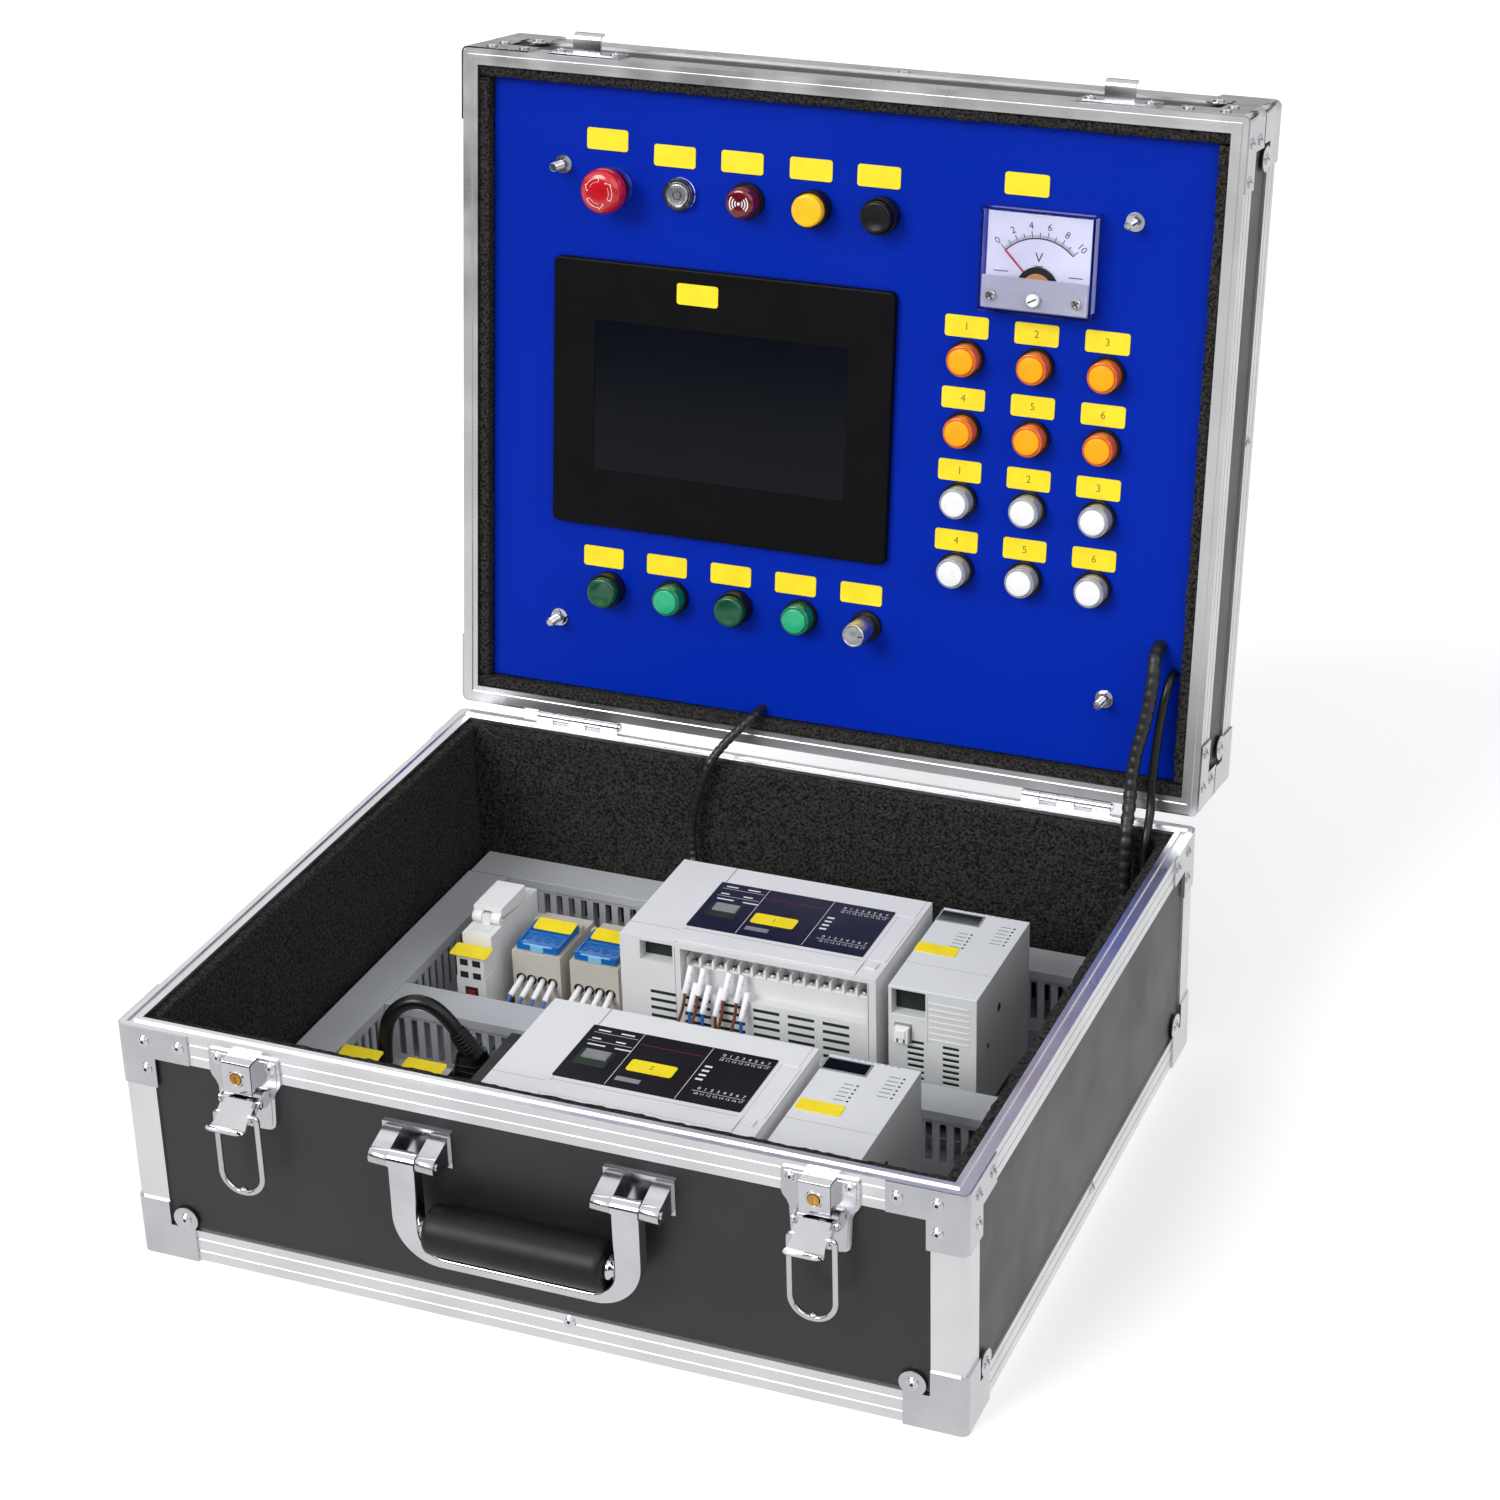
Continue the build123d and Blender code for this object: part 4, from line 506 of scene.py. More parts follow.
lead_route = [
    (-117.0, -41.0, 68.5),
    (-123.87, -41.92, 79.5),
    (-137.5, -43.5, 85.5),
    (-151.0, -45.5, 79.0),
    (-158.5, -47.5, 64.0),
    (-158.5, -47.5, 44.5),
]
lead = nurbs_curve("power_lead_cord", lead_route, 4.0)
lead.data.materials.append(rubber)
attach(lead, "base")
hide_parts("power_lead")
length_of(spline_points(lead_route))

wrapped_cable_route = [
    on_lid(-37.0, 20.0, -8.0),
    on_lid(-37.0, 20.0, 2.0),
    on_lid(-43.0, 12.5, 9.5),
    (-50.5, 180.0, 149.5),
    (-57.0, 171.5, 140.0),
    (-62.0, 170.5, 126.0),
    (-67.5, 171.0, 109.0),
    (-70.0, 170.5, 92.0),
    (-68.0, 168.0, 76.0),
    (-63.0, 158.0, 65.0),
    (-60.0, 146.5, 58.0),
    (-60.5, 142.5, 46.0),
]
screen_cable_route = [
    on_lid(206.0, 78.0, -8.0),
    on_lid(206.0, 78.0, 0.5),
    on_lid(204.5, 65.0, 6.0),
    on_lid(202.5, 46.0, 5.0),
    on_lid(201.5, 26.0, 6.5),
    on_lid(202.0, 9.0, 8.5),
    (203.0, 183.0, 146.0),
    (203.5, 172.5, 136.0),
    (203.8, 170.5, 120.0),
    (204.0, 168.5, 100.0),
    (203.0, 166.0, 80.0),
    (200.5, 164.5, 60.0),
    (198.5, 164.2, 44.0),
    (195.0, 164.0, 33.0),
    (188.0, 164.0, 27.0),
]
bundle_route = [
    on_lid(197.0, 92.0, -8.0),
    on_lid(197.0, 92.0, 3.0),
    on_lid(198.5, 76.0, 8.5),
    on_lid(196.0, 54.0, 8.0),
    on_lid(191.0, 32.0, 8.5),
    on_lid(190.5, 11.0, 10.5),
    (191.5, 180.5, 150.5),
    (193.0, 169.5, 139.0),
    (193.5, 167.0, 121.0),
    (194.0, 165.0, 101.0),
    (195.0, 164.0, 81.0),
    (194.0, 164.0, 61.0),
]


def evenly(path, step):
    """The path again, with rings at a regular spacing."""
    points = [path[0].copy()]
    left = step
    for before, after in zip(path, path[1:]):
        run = (after - before).length
        done = 0.0
        while run - done >= left:
            done += left
            points.append(before.lerp(after, done / run))
            left = step
        left -= run - done
    points.append(path[-1].copy())
    return points


def lid_cable(name, route, radius, wrap_depth, wrap_pitch, material):
    """A cable from the lid into the base, with the fine turns of its wrapping as a relief."""
    path = spline_points(route)
    rings = evenly(path, 0.0011)
    bm = bmesh.new()
    along = 0.0
    radii = []
    for step, point in enumerate(rings):
        if step:
            along += (point - rings[step - 1]).length * 1000
        wave = 0.5 + 0.5 * math.cos(2 * math.pi * along / wrap_pitch)
        radii.append(radius - wrap_depth * (1 - wave ** 0.5))
    tube(bm, [point * 1000 for point in rings], radii, segments=16)
    piece = finish_piece(name, bm, material, None, merge=False, angle=60)
    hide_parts("lid_cables")
    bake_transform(piece)


lid_cable("wrapped_cable", wrapped_cable_route, 2.75, 0.5, 4.4, wrap_black)
lid_cable("screen_cable", screen_cable_route, 2.5, 0.0, 5.0, rubber)
lid_cable("wrapped_bundle", bundle_route, 4.0, 0.7, 6.6, wrap_black)


def duct_slot(x):
    """The middle of the middle duct's slot that lies nearest to x."""
    first, pitch = -172.25, 8.0
    return first + round((x - first) / pitch) * pitch


def control_wire(name, start, sleeve_end, rest, material):
    """A wire with a white marker sleeve on its first stretch."""
    bm = bmesh.new()
    start, sleeve_end = Vector(start), Vector(sleeve_end)
    run = sleeve_end - start
    shares = (0.0, 0.03, 0.5, 0.97, 1.0)
    radii = (1.45, 1.7, 1.7, 1.7, 1.45)
    tube(bm, [start + run * share for share in shares], radii, segments=18)
    place = Matrix.Translation(start) @ run.to_track_quat("Z", "X").to_matrix().to_4x4()
    mark = place @ Matrix.Rotation(math.radians(-90), 4, "Z")
    for share in (0.3, 0.62):
        for turn in range(-3, 4):
            angle = math.radians(turn * 9)
            height = run.length * share
            low = [Vector((1.73 * math.cos(angle + shift), 1.73 * math.sin(angle + shift), height + rise))
                   for shift, rise in ((-0.05, -0.35), (0.05, -0.35), (0.05, 0.35), (-0.05, 0.35))]
            if turn % 2 == 0:
                bm.faces.new([bm.verts.new(mark @ point) for point in low]).material_index = 1
    sleeve = finish_piece(name + "_sleeve", bm, [sleeve_white, black_print_and_painted_shade], "base",
                          replaces=("control_wires",), merge=False)
    route = [sleeve_end] + rest
    wire = nurbs_curve(name, route, 0.9)
    wire.data.bevel_resolution = 4
    wire.data.materials.append(material)
    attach(wire, "base")
    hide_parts("control_wires")
    length = max(0.03, length_of(spline_points(route)))


duct_face = 20.0
duct_inside = 12.0
wire_height = 45.0
for number, block_x in enumerate((-118.0, -82.0)):
    for index in range(4):
        wire_x = block_x + (index - 1.5) * 6.5
        lean = 1.5 * index - 4.0
        slot_x = duct_slot(wire_x + lean)
        control_wire(f"block_wire_{number}_{index}", (wire_x, 59.8, wire_height),
                     (wire_x + lean * 0.4, 46.0, wire_height - 5.5),
                     [(wire_x + lean * 0.7, 40.5, wire_height - 12.0),
                      (slot_x - lean * 0.2, 33.0, wire_height - 18.0),
                      (slot_x, duct_face + 4.0, wire_height - 19.5),
                      (slot_x, duct_inside, wire_height - 20.0)], wire_blue)
terminals = ((0, 0), (0.5, 1), (1, 0), (1.5, 1), (2.5, 1), (3, 0), (4, 0), (4.5, 1))
wire_colours = (wire_brown, wire_blue, wire_brown, wire_blue, wire_brown, wire_brown, wire_brown, wire_blue)
for index, (terminal, low) in enumerate(terminals):
    wire_x = -13.3 + terminal * 7.62
    out = 1.8 + 2.3 * low
    top = 86.0 - 9.0 * low
    slot_x = duct_slot(wire_x - 3.0) + 2.0 - 0.9 - 0.2
    control_wire(f"terminal_wire_{index}", (wire_x, 40.6 - out, top),
                 (wire_x - 2.0, 36.6 - out * 1.5, top - 15.0),
                 [(wire_x - 2.6, 32.6 - 1.4 * low, top - 24.0 + low),
                  (slot_x + 0.4, 28.0 - low, top - 34.0 + 4.0 * low),
                  (slot_x, duct_face + 0.5, 34.5 - low),
                  (slot_x, duct_inside, 30.5 - low)], wire_colours[index])


# Foam linings

def foam_block(bm, x0, x1, y0, y1, z0, z1, cell, place=Matrix()):
    """A foam board as a fine net of cells on all six sides."""
    spans = [(x0, x1), (y0, y1), (z0, z1)]
    counts = [max(1, round((high - low) / cell)) for low, high in spans]
    for fixed in range(3):
        first, second = [axis for axis in range(3) if axis != fixed]
        for side in (0, 1):
            grid = []
            for i in range(counts[first] + 1):
                row = []
                for j in range(counts[second] + 1):
                    point = [0.0, 0.0, 0.0]
                    point[fixed] = spans[fixed][side]
                    for axis, number in ((first, i), (second, j)):
                        low, high = spans[axis]
                        point[axis] = low + (high - low) * number / counts[axis]
                    row.append(bm.verts.new(place @ Vector(point)))
                grid.append(row)
            net(bm, grid)


def foam_lining(name, boards, place, body, node):
    bm = bmesh.new()
    for board, cell in boards:
        foam_block(bm, *board, cell, place)
    bmesh.ops.remove_doubles(bm, verts=bm.verts, dist=0.05)
    bmesh.ops.recalc_face_normals(bm, faces=bm.faces)
    bm.normal_update()
    moves = []
    for vertex in bm.verts:
        rough = noise.noise(vertex.co * 0.42) * 0.75 + noise.noise(vertex.co * 0.05) * 0.5 - 0.55
        moves.append(vertex.normal * rough)
    for vertex, move in zip(bm.verts, moves):
        vertex.co += move
    piece = finish_piece(name, bm, foam, body, replaces=(node,), merge=False, angle=180)


foam_outer_x, foam_inner_x = 218.1, 210.5
foam_outer_y, foam_inner_y = 184.1, 176.5
foam_low = 7.6


def wall_boards(top):
    side = foam_inner_y - 0.3
    return [
        ((-foam_outer_x, foam_outer_x, -foam_outer_y, -foam_inner_y, foam_low, top), 3.0),
        ((-foam_outer_x, foam_outer_x, foam_inner_y, foam_outer_y, foam_low, top), 3.0),
        ((-foam_outer_x, -foam_inner_x, -side, side, foam_low, top), 3.0),
        ((foam_inner_x, foam_outer_x, -side, side, foam_low, top), 3.0),
    ]


foam_lining("base_foam", wall_boards(135.6) + [((-210.0, 210.0, -176.0, 176.0, foam_low, 10.6), 14.0)],
            Matrix(), "base", "base_foam_lining")
foam_lining("lid_foam", wall_boards(64.6), lid_place(0, 192.0, -66.5), "lid", "lid_foam_lining")


# CAD nodes that stay, with finer edges

def dress(node, material):
    target = nodes[node]
    if not target.data.materials:
        target.data.materials.append(material)
    for holder in target.material_slots:
        holder.material = material


def soften(node, width):
    """Rounds a node's sharp edges by a fraction of a millimetre."""
    target = nodes[node]
    weld = target.modifiers.new("weld", "WELD")
    weld.merge_threshold = 0.000004
    round_edges(target, width, 38)


dressing = {
    "base_panels": laminate, "lid_panels": laminate, "base_frame": aluminium, "lid_frame": aluminium,
    "base_corners": nickel, "lid_corners": nickel, "base_rivets": rivet_metal, "lid_rivets": rivet_metal,
    "mounting_plate": zinc, "wiring_ducts": duct_grey, "duct_covers": duct_grey,
    "fuse_holder_body": white_plastic, "fuse_lever": white_plastic, "distribution_blocks": cream_plastic,
    "block_cover_left": clear_blue, "block_cover_right": clear_blue, "controller_bodies": body_grey,
    "controller_1_cover": cover_grey, "controller_2_cover": cover_grey, "expansion_modules": module_grey,
    "network_switch": black_plastic, "power_supply": zinc, "power_plug": rubber,
    "hinge_base_leaves": nickel, "hinge_lid_leaves": nickel, "hinge_pins": nickel,
    "latch_plates": nickel, "latch_lever_left": chrome, "latch_lever_right": chrome,
    "latch_bail_left": nickel, "latch_bail_right": nickel, "lock_barrel_left": brass,
    "lock_barrel_right": brass, "latch_keepers": nickel, "handle_brackets": nickel,
    "handle_frame": chrome, "handle_grip": grip_black, "control_panel": panel_blue,
    "operator_panel": bezel_black, "operator_screen": screen_glass, "meter_case": meter_clear,
    "meter_dial": dial_paper, "meter_needle": needle_red, "device_housings": black_plastic,
    "panel_studs": nickel,
}
for node, material in dressing.items():
    dress(node, material)
for node, width in (("base_frame", 0.35), ("lid_frame", 0.35), ("base_corners", 0.3), ("lid_corners", 0.3),
                    ("duct_covers", 0.4), ("fuse_holder_body", 0.4), ("fuse_lever", 0.5),
                    ("distribution_blocks", 0.6), ("block_cover_left", 0.5), ("block_cover_right", 0.5),
                    ("controller_bodies", 0.5), ("controller_1_cover", 0.4), ("controller_2_cover", 0.4),
                    ("expansion_modules", 0.5), ("network_switch", 0.5), ("power_supply", 0.5),
                    ("latch_plates", 0.3), ("handle_brackets", 0.4), ("latch_keepers", 0.3)):
    soften(node, width)


# Latches, their hooks and the rivets

latch_x = 153.75
latch_face = -193.2
case_front = -192.0
lever_y, lever_z = -198.5, 111.0
lever_angle = 54.0
latch_low, latch_high = 92.5, 134.4
lock_height = 125.0


def latch_outline(inset, low, high):
    """The latch plate's outline, with chamfered shoulders and round lower corners."""
    right = [(9.5, 92.5), (12.6, 93.1), (14.6, 94.9), (15.3, 97.6), (16.0, 113.0), (17.2, 116.0),
             (19.2, 118.6), (20.0, 121.0), (20.0, 133.2), (19.0, 134.4)]
    chosen = [(x - inset, min(max(z, low + inset), high - inset)) for x, z in right]
    return chosen + [(-x, z) for x, z in chosen[::-1]]


def latch_plate(side):
    x = side * latch_x
    bm = bmesh.new()
    upright = at(x, 0, 0) @ facing_front
    prism(bm, latch_outline(0.0, latch_low, latch_high), -case_front, -latch_face, upright)
    prism(bm, latch_outline(0.0, latch_low, 120.2), -case_front - 1.3, -case_front, upright)
    prism(bm, latch_outline(1.9, latch_low, latch_high), -latch_face, -latch_face + 0.45, upright)
    name = "left" if side < 0 else "right"
    finish_piece("latch_plate_" + name, bm, nickel, "base", replaces=("latch_plates",),
                 bevel=0.35)
    bm = bmesh.new()
    half, front = 8.0, -latch_face + 8.0
    roof = [(-latch_face, 134.0), (front - 1.6, 134.0), (front - 0.5, 133.5), (front, 132.4),
            (front, 116.0), (front - 1.0, 116.0), (front - 1.0, 132.0), (front - 1.8, 132.9),
            (-latch_face, 132.9)]
    across = Matrix(((0, 0, 1), (-1, 0, 0), (0, 1, 0))).to_4x4()
    prism(bm, roof, -half, half, at(x, 0, 0) @ across)
    for cheek in (-1, 1):
        start, end = sorted((cheek * half, cheek * (half - 1.0)))
        prism(bm, [(-latch_face, 133.9), (front - 0.8, 133.9), (front - 0.1, 132.6), (front - 0.1, 116.0),
                   (-latch_face, 117.5)], start, end, at(x, 0, 0) @ across)
    ring = at(x, -front, lock_height) @ facing_front
    lathe(bm, [(3.05, -6.5), (3.05, 0.2), (3.5, 0.75), (4.1, 0.75), (4.6, 0.1), (4.6, -0.2)], ring, 40)
    for cheek in (-1, 1):
        start, end = sorted((cheek * 10.4, cheek * 11.6))
        arc = arc_points(3.0, -90, 90, 12, -lever_y, lever_z)
        prism(bm, [(-latch_face, lever_z + 4.4)] + arc[::-1] + [(-latch_face, lever_z - 4.4)], start, end,
              at(x, 0, 0) @ across)
    pin = at(x, lever_y, lever_z) @ facing_right
    lathe(bm, [(0, -12.2), (1.5, -12.2), (1.9, -11.9), (1.9, -11.6), (1.2, -11.6), (1.2, 11.6), (1.9, 11.6),
               (1.9, 11.9), (1.5, 12.2), (0, 12.2)], pin, 24)
    finish_piece("latch_cover_" + name, bm, chrome, "base", replaces=("latch_plates",),
                 bevel=0.25)


def latch_lever(side):
    """The lever: a pressed plate that narrows, swells and turns up to a rolled lip, between two cheeks."""
    x = side * latch_x
    name = "left" if side < 0 else "right"
    place = at(x, lever_y, lever_z) @ Matrix.Rotation(math.radians(-lever_angle), 4, "X")
    run = [(1.6, 2.0, 8.2), (0.2, 2.7, 8.4), (-1.3, 2.3, 8.6), (-2.3, 1.2, 8.9), (-2.6, -0.6, 9.3),
           (-2.6, -4.0, 9.4), (-2.5, -8.0, 9.0), (-2.4, -11.0, 8.7), (-2.5, -13.4, 8.9), (-2.9, -15.6, 9.4),
           (-3.7, -17.6, 9.8), (-4.9, -19.2, 9.9), (-6.3, -20.1, 9.7), (-7.5, -20.3, 9.2),
           (-8.2, -19.9, 8.6)]
    count = 12
    bm = bmesh.new()
    layers = []
    for depth in (0.0, 1.15):
        rows = []
        for step, (y, z, half) in enumerate(run):
            before, after = run[max(step - 1, 0)], run[min(step + 1, len(run) - 1)]
            normal = Vector((0, -(before[1] - after[1]), before[0] - after[0])).normalized()
            row = []
            for column in range(count + 1):
                share = 2 * column / count - 1
                swell = 0.9 * (1 - share ** 2) if 6 < step else 0.0
                edge = 1.2 * abs(share) ** 6 if step > 11 else 0.0
                point = Vector((share * half, y - swell, z + edge)) - normal * depth
                row.append(bm.verts.new(place @ point))
            rows.append(row)
        layers.append(rows)
    outer, inner = layers
    for step in range(len(run) - 1):
        for column in range(count):
            bm.faces.new([outer[step][column], outer[step][column + 1], outer[step + 1][column + 1],
                          outer[step + 1][column]])
            bm.faces.new([inner[step][column], inner[step + 1][column], inner[step + 1][column + 1],
                          inner[step][column + 1]])
        for column in (0, count):
            bm.faces.new([outer[step][column], outer[step + 1][column], inner[step + 1][column],
                          inner[step][column]])
    for step in (0, len(run) - 1):
        for column in range(count):
            bm.faces.new([outer[step][column], inner[step][column], inner[step][column + 1],
                          outer[step][column + 1]])
    lobe = arc_points(2.6, 0, 180, 9)
    foot = arc_points(2.6, 180, 360, 9, 0.0, -8.0)
    for cheek in (-1, 1):
        start, end = sorted((cheek * 9.5, cheek * 8.0))
        prism(bm, lobe + foot, start, end, place @ facing_right)
    finish_piece("lever_" + name, bm, chrome, "latch_lever_" + name,
                 replaces=("latch_lever_" + name,), angle=38)


for latch_side in (-1, 1):
    latch_plate(latch_side)
    latch_lever(latch_side)


def lid_hooks():
    """The plates on the lid's front edge with the hooks that the bails pull on."""
    bm = bmesh.new()
    lid = lid_place(0, 0, 0)
    standing = lid @ Matrix.Rotation(math.radians(90), 4, "X")
    for u in (-latch_x, latch_x):
        plate = [(x + u, y - 10.0) for x, y in rounded(44.0, 19.0, 3.0)]
        prism(bm, plate, -385.2, -384.0, standing)
        inner = [(x + u, y - 10.0) for x, y in rounded(40.6, 15.6, 2.2)]
        prism(bm, inner, -385.55, -385.2, standing)
        hook = [(385.2, -8.3), (392.6, -8.3), (394.6, -8.8), (395.7, -10.0), (396.0, -11.6),
                (396.0, -14.0), (395.3, -14.5), (394.6, -14.0), (394.5, -12.0), (394.0, -10.6),
                (392.6, -9.9), (385.2, -9.9)]
        prism(bm, hook, u - 8.5, u + 8.5, lid @ facing_right)
        for side in (-1, 1):
            seat = lid_place(u + side * 16.5, 0, -10.0) @ Matrix.Rotation(math.radians(-90), 4, "X")
            screw = [(3.0, 385.4), (3.0, 386.0), (2.4, 386.5), (1.2, 386.6), (0.9, 385.9), (0, 385.9)]
            lathe(bm, screw, seat, 28)
    finish_piece("lid_hooks", bm, nickel, "lid", replaces=("latch_keepers",),
                 bevel=0.3)


lid_hooks()


def rivet_dots(name, node, body, place):
    """The dark holes in the middle of a node's blind rivets, drawn as black discs of painted shade."""
    bm = bmesh.new()
    bm.from_mesh(nodes[node].data)
    bmesh.ops.remove_doubles(bm, verts=bm.verts, dist=1e-6)
    back_again = place.inverted()
    bm.verts.ensure_lookup_table()
    seen = set()
    spots = []
    for start in bm.verts:
        if start.index in seen:
            continue
        stack, points = [start], []
        seen.add(start.index)
        while stack:
            vertex = stack.pop()
            points.append(back_again @ (vertex.co * 1000))
            for edge in vertex.link_edges:
                other = edge.other_vert(vertex)
                if other.index not in seen:
                    seen.add(other.index)
                    stack.append(other)
        low = Vector([min(point[axis] for point in points) for axis in range(3)])
        high = Vector([max(point[axis] for point in points) for axis in range(3)])
        spots.append((low, high))
    bm.free()
    whole_low = Vector([min(low[axis] for low, high in spots) for axis in range(3)])
    whole_high = Vector([max(high[axis] for low, high in spots) for axis in range(3)])
    middle = (whole_low + whole_high) / 2
    bm = bmesh.new()
    for low, high in spots:
        size = high - low
        axis = min(range(3), key=lambda each: size[each])
        centre = (low + high) / 2
        sign = 1 if centre[axis] > middle[axis] else -1
        outward = Vector((0, 0, 0))
        outward[axis] = sign
        centre[axis] = (high if sign > 0 else low)[axis]
        turn = outward.to_track_quat("Z", "Y").to_matrix().to_4x4()
        seat = place @ Matrix.Translation(centre - outward * 0.75) @ turn
        lathe(bm, [(0.88, 0.0), (0.6, 0.12), (0, 0.12)], seat, 14)
    finish_piece(name, bm, black_print_and_painted_shade, body, merge=False)


rivet_dots("base_rivet_holes", "base_rivets", "base", Matrix())
rivet_dots("lid_rivet_holes", "lid_rivets", "lid", lid_place(0, 0, 0))


# Devices on the lid's panel

panel_face = -8.0
columns = [-135.0 + 40.0 * index for index in range(5)]
upper_v, lower_v = 313.0, 79.0


def cap_profile(radius, bottom, top, dish):
    """A push button's cap with a rounded edge and a dished face."""
    return [(radius, bottom), (radius, top - 1.2), (radius - 0.3, top - 0.5), (radius - 0.9, top - 0.1),
            (radius - 1.6, top), (radius - 2.4, top - 0.15 * dish), (radius * 0.5, top - 0.8 * dish),
            (radius * 0.2, top - dish), (0, top - dish)]


def push_button(name, node, u, v, material, dish):
    bm = bmesh.new()
    lathe(bm, cap_profile(8.9, 4.6, 13.8, dish), lid_place(u, v, panel_face), 64)
    finish_piece(name, bm, material, node, replaces=(node,), angle=50)


push_button("silence_cap", "silence_button", columns[3], upper_v, cap_yellow, 0.2)
push_button("reset_cap", "reset_button", columns[4], upper_v, black_plastic, 1.1)
push_button("link_cap_1", "link_button_1", columns[0], lower_v, cap_green, 0.9)
push_button("link_cap_2", "link_button_2", columns[2], lower_v, cap_green, 0.9)


def lamps(name, node, places, top_material, shaded_side_material):
    """Lamps whose flat face is brighter than their glossy clear sides, which carry a darker copy of the
    lens colour as painted shade.
    """
    bm = bmesh.new()
    for u, v in places:
        place = lid_place(u, v, panel_face)
        side = [(8.75, 0.9), (8.75, 9.6), (8.65, 10.4), (8.4, 10.9), (8.0, 11.1), (7.3, 11.15), (7.1, 11.0)]
        top = [(7.1, 11.0), (7.05, 12.0), (6.9, 12.3), (6.5, 12.45), (3.0, 12.55), (0, 12.55)]
        lathe(bm, side, place, 64, 1)
        lathe(bm, top, place, 64, 0)
    finish_piece(name, bm, [top_material, shaded_side_material], "lid", replaces=(node,), angle=45)


lamp_columns = (77.0, 117.0, 157.0)
amber_places = [(u, v) for v in (239.5, 199.5) for u in lamp_columns]
white_places = [(u, v) for v in (159.5, 119.5) for u in lamp_columns]
lamps("amber_lamp_lenses", "amber_lenses", amber_places, amber, amber_shaded_side)
lamps("white_lamp_lenses", "white_lenses", white_places, lamp_white, lamp_white_shaded_side)
lamps("green_lamp_lenses", "signal_lenses", [(columns[1], lower_v), (columns[3], lower_v)], lamp_green,
      lamp_green_shaded_side)


def alarm_lamp():
    """The alarm lamp's smooth lens with the marks of a sounder on it."""
    bm = bmesh.new()
    place = lid_place(columns[2], upper_v, panel_face)
    lens = [(8.75, 0.9), (8.75, 9.4), (8.55, 10.9), (8.0, 12.0), (7.2, 12.6), (6.2, 12.85), (3.0, 12.98),
            (0, 13.0)]
    lathe(bm, lens, place, 64, 0)
    for side in (0, 180):
        for radius in (2.2, 3.8, 5.4):
            ring_band(bm, radius - 0.35, radius + 0.35, side - 42, side + 42, 13.06, place, 1)
    lathe(bm, [(0.9, 13.04), (0.9, 13.1), (0, 13.1)], place, 20, 1)
    finish_piece("alarm_lens", bm, [alarm_red, ink_white], "lid",
                 replaces=("signal_lenses",), angle=40)


alarm_lamp()


def emergency_stop():
    bm = bmesh.new()
    place = lid_place(columns[0], upper_v, panel_face)
    profile = [(4.9, 6.2), (4.9, 11.2), (10.4, 11.0), (11.9, 11.6), (12.7, 13.2), (12.7, 17.4),
               (12.2, 19.6), (11.2, 21.2), (9.6, 22.3), (7.2, 22.8), (3.0, 22.95), (0, 22.98)]
    lathe(bm, profile, place, 72, 0)
    crown = 22.99
    line = 0.32
    sides = (6.0, 8.2)
    for turn in range(3):
        tail = 90 + 120 * turn
        neck, tip = tail + 62, tail + 86
        for radius in sides:
            height = crown - 0.012 * radius ** 1.4
            ring_band(bm, radius - line / 2, radius + line / 2, tail, neck, height, place, 1)
        strokes = [(polar(sides[0], tail), polar(sides[1], tail))]
        for radius, side in zip((5.0, 9.2), sides):
            wing = polar(radius, neck)
            strokes += [(wing, polar(7.1, tip)), (wing, polar(side, neck))]
        for start, end in strokes:
            line_patch(bm, start, end, line, crown - 0.16, place, 1)
    finish_piece("stop_head", bm, [stop_red, ink_white], "estop_button",
                 replaces=("estop_button",), angle=40)
    bm = bmesh.new()
    collar = [(11.0, 0.0), (11.3, 0.4), (11.3, 2.2), (10.95, 2.6), (10.95, 5.2), (10.6, 6.1), (9.2, 6.2),
              (8.4, 5.6), (5.2, 5.6), (5.2, 0.0)]
    lathe(bm, collar, place, 72, 0, ripple=0.006, ripples=36)
    finish_piece("stop_collar", bm, chrome, "lid", angle=50)


emergency_stop()


def power_switch():
    bm = bmesh.new()
    place = lid_place(columns[1], upper_v, panel_face)
    ring = [(9.25, 0.0), (9.25, 1.4), (9.05, 1.6), (9.05, 4.1), (8.6, 4.75), (7.2, 4.8), (6.55, 4.3),
            (6.5, 0.5)]
    lathe(bm, ring, place, 72)
    for turn in range(4):
        notch = place @ Matrix.Rotation(math.radians(45 + 90 * turn), 4, "Z")
        block(bm, 7.3, 9.2, -0.5, 0.5, 4.3, 4.95, notch)
    finish_piece("power_ring", bm, chrome, "lid", angle=35)
    bm = bmesh.new()
    profile = [(6.3, 1.2), (6.3, 5.3), (6.0, 5.8), (5.4, 5.9), (5.1, 5.4), (4.7, 5.4), (4.4, 5.85),
               (0, 5.9)]
    lathe(bm, profile, place, 64, 0)
    ring_band(bm, 2.1, 2.7, 125, 415, 5.95, place, 1)
    line_patch(bm, (0, 1.2), (0, 3.4), 0.6, 5.96, place, 1)
    finish_piece("power_cap", bm, [brushed, black_print_and_painted_shade], "power_button",
                 replaces=("power_button",), angle=35)


power_switch()


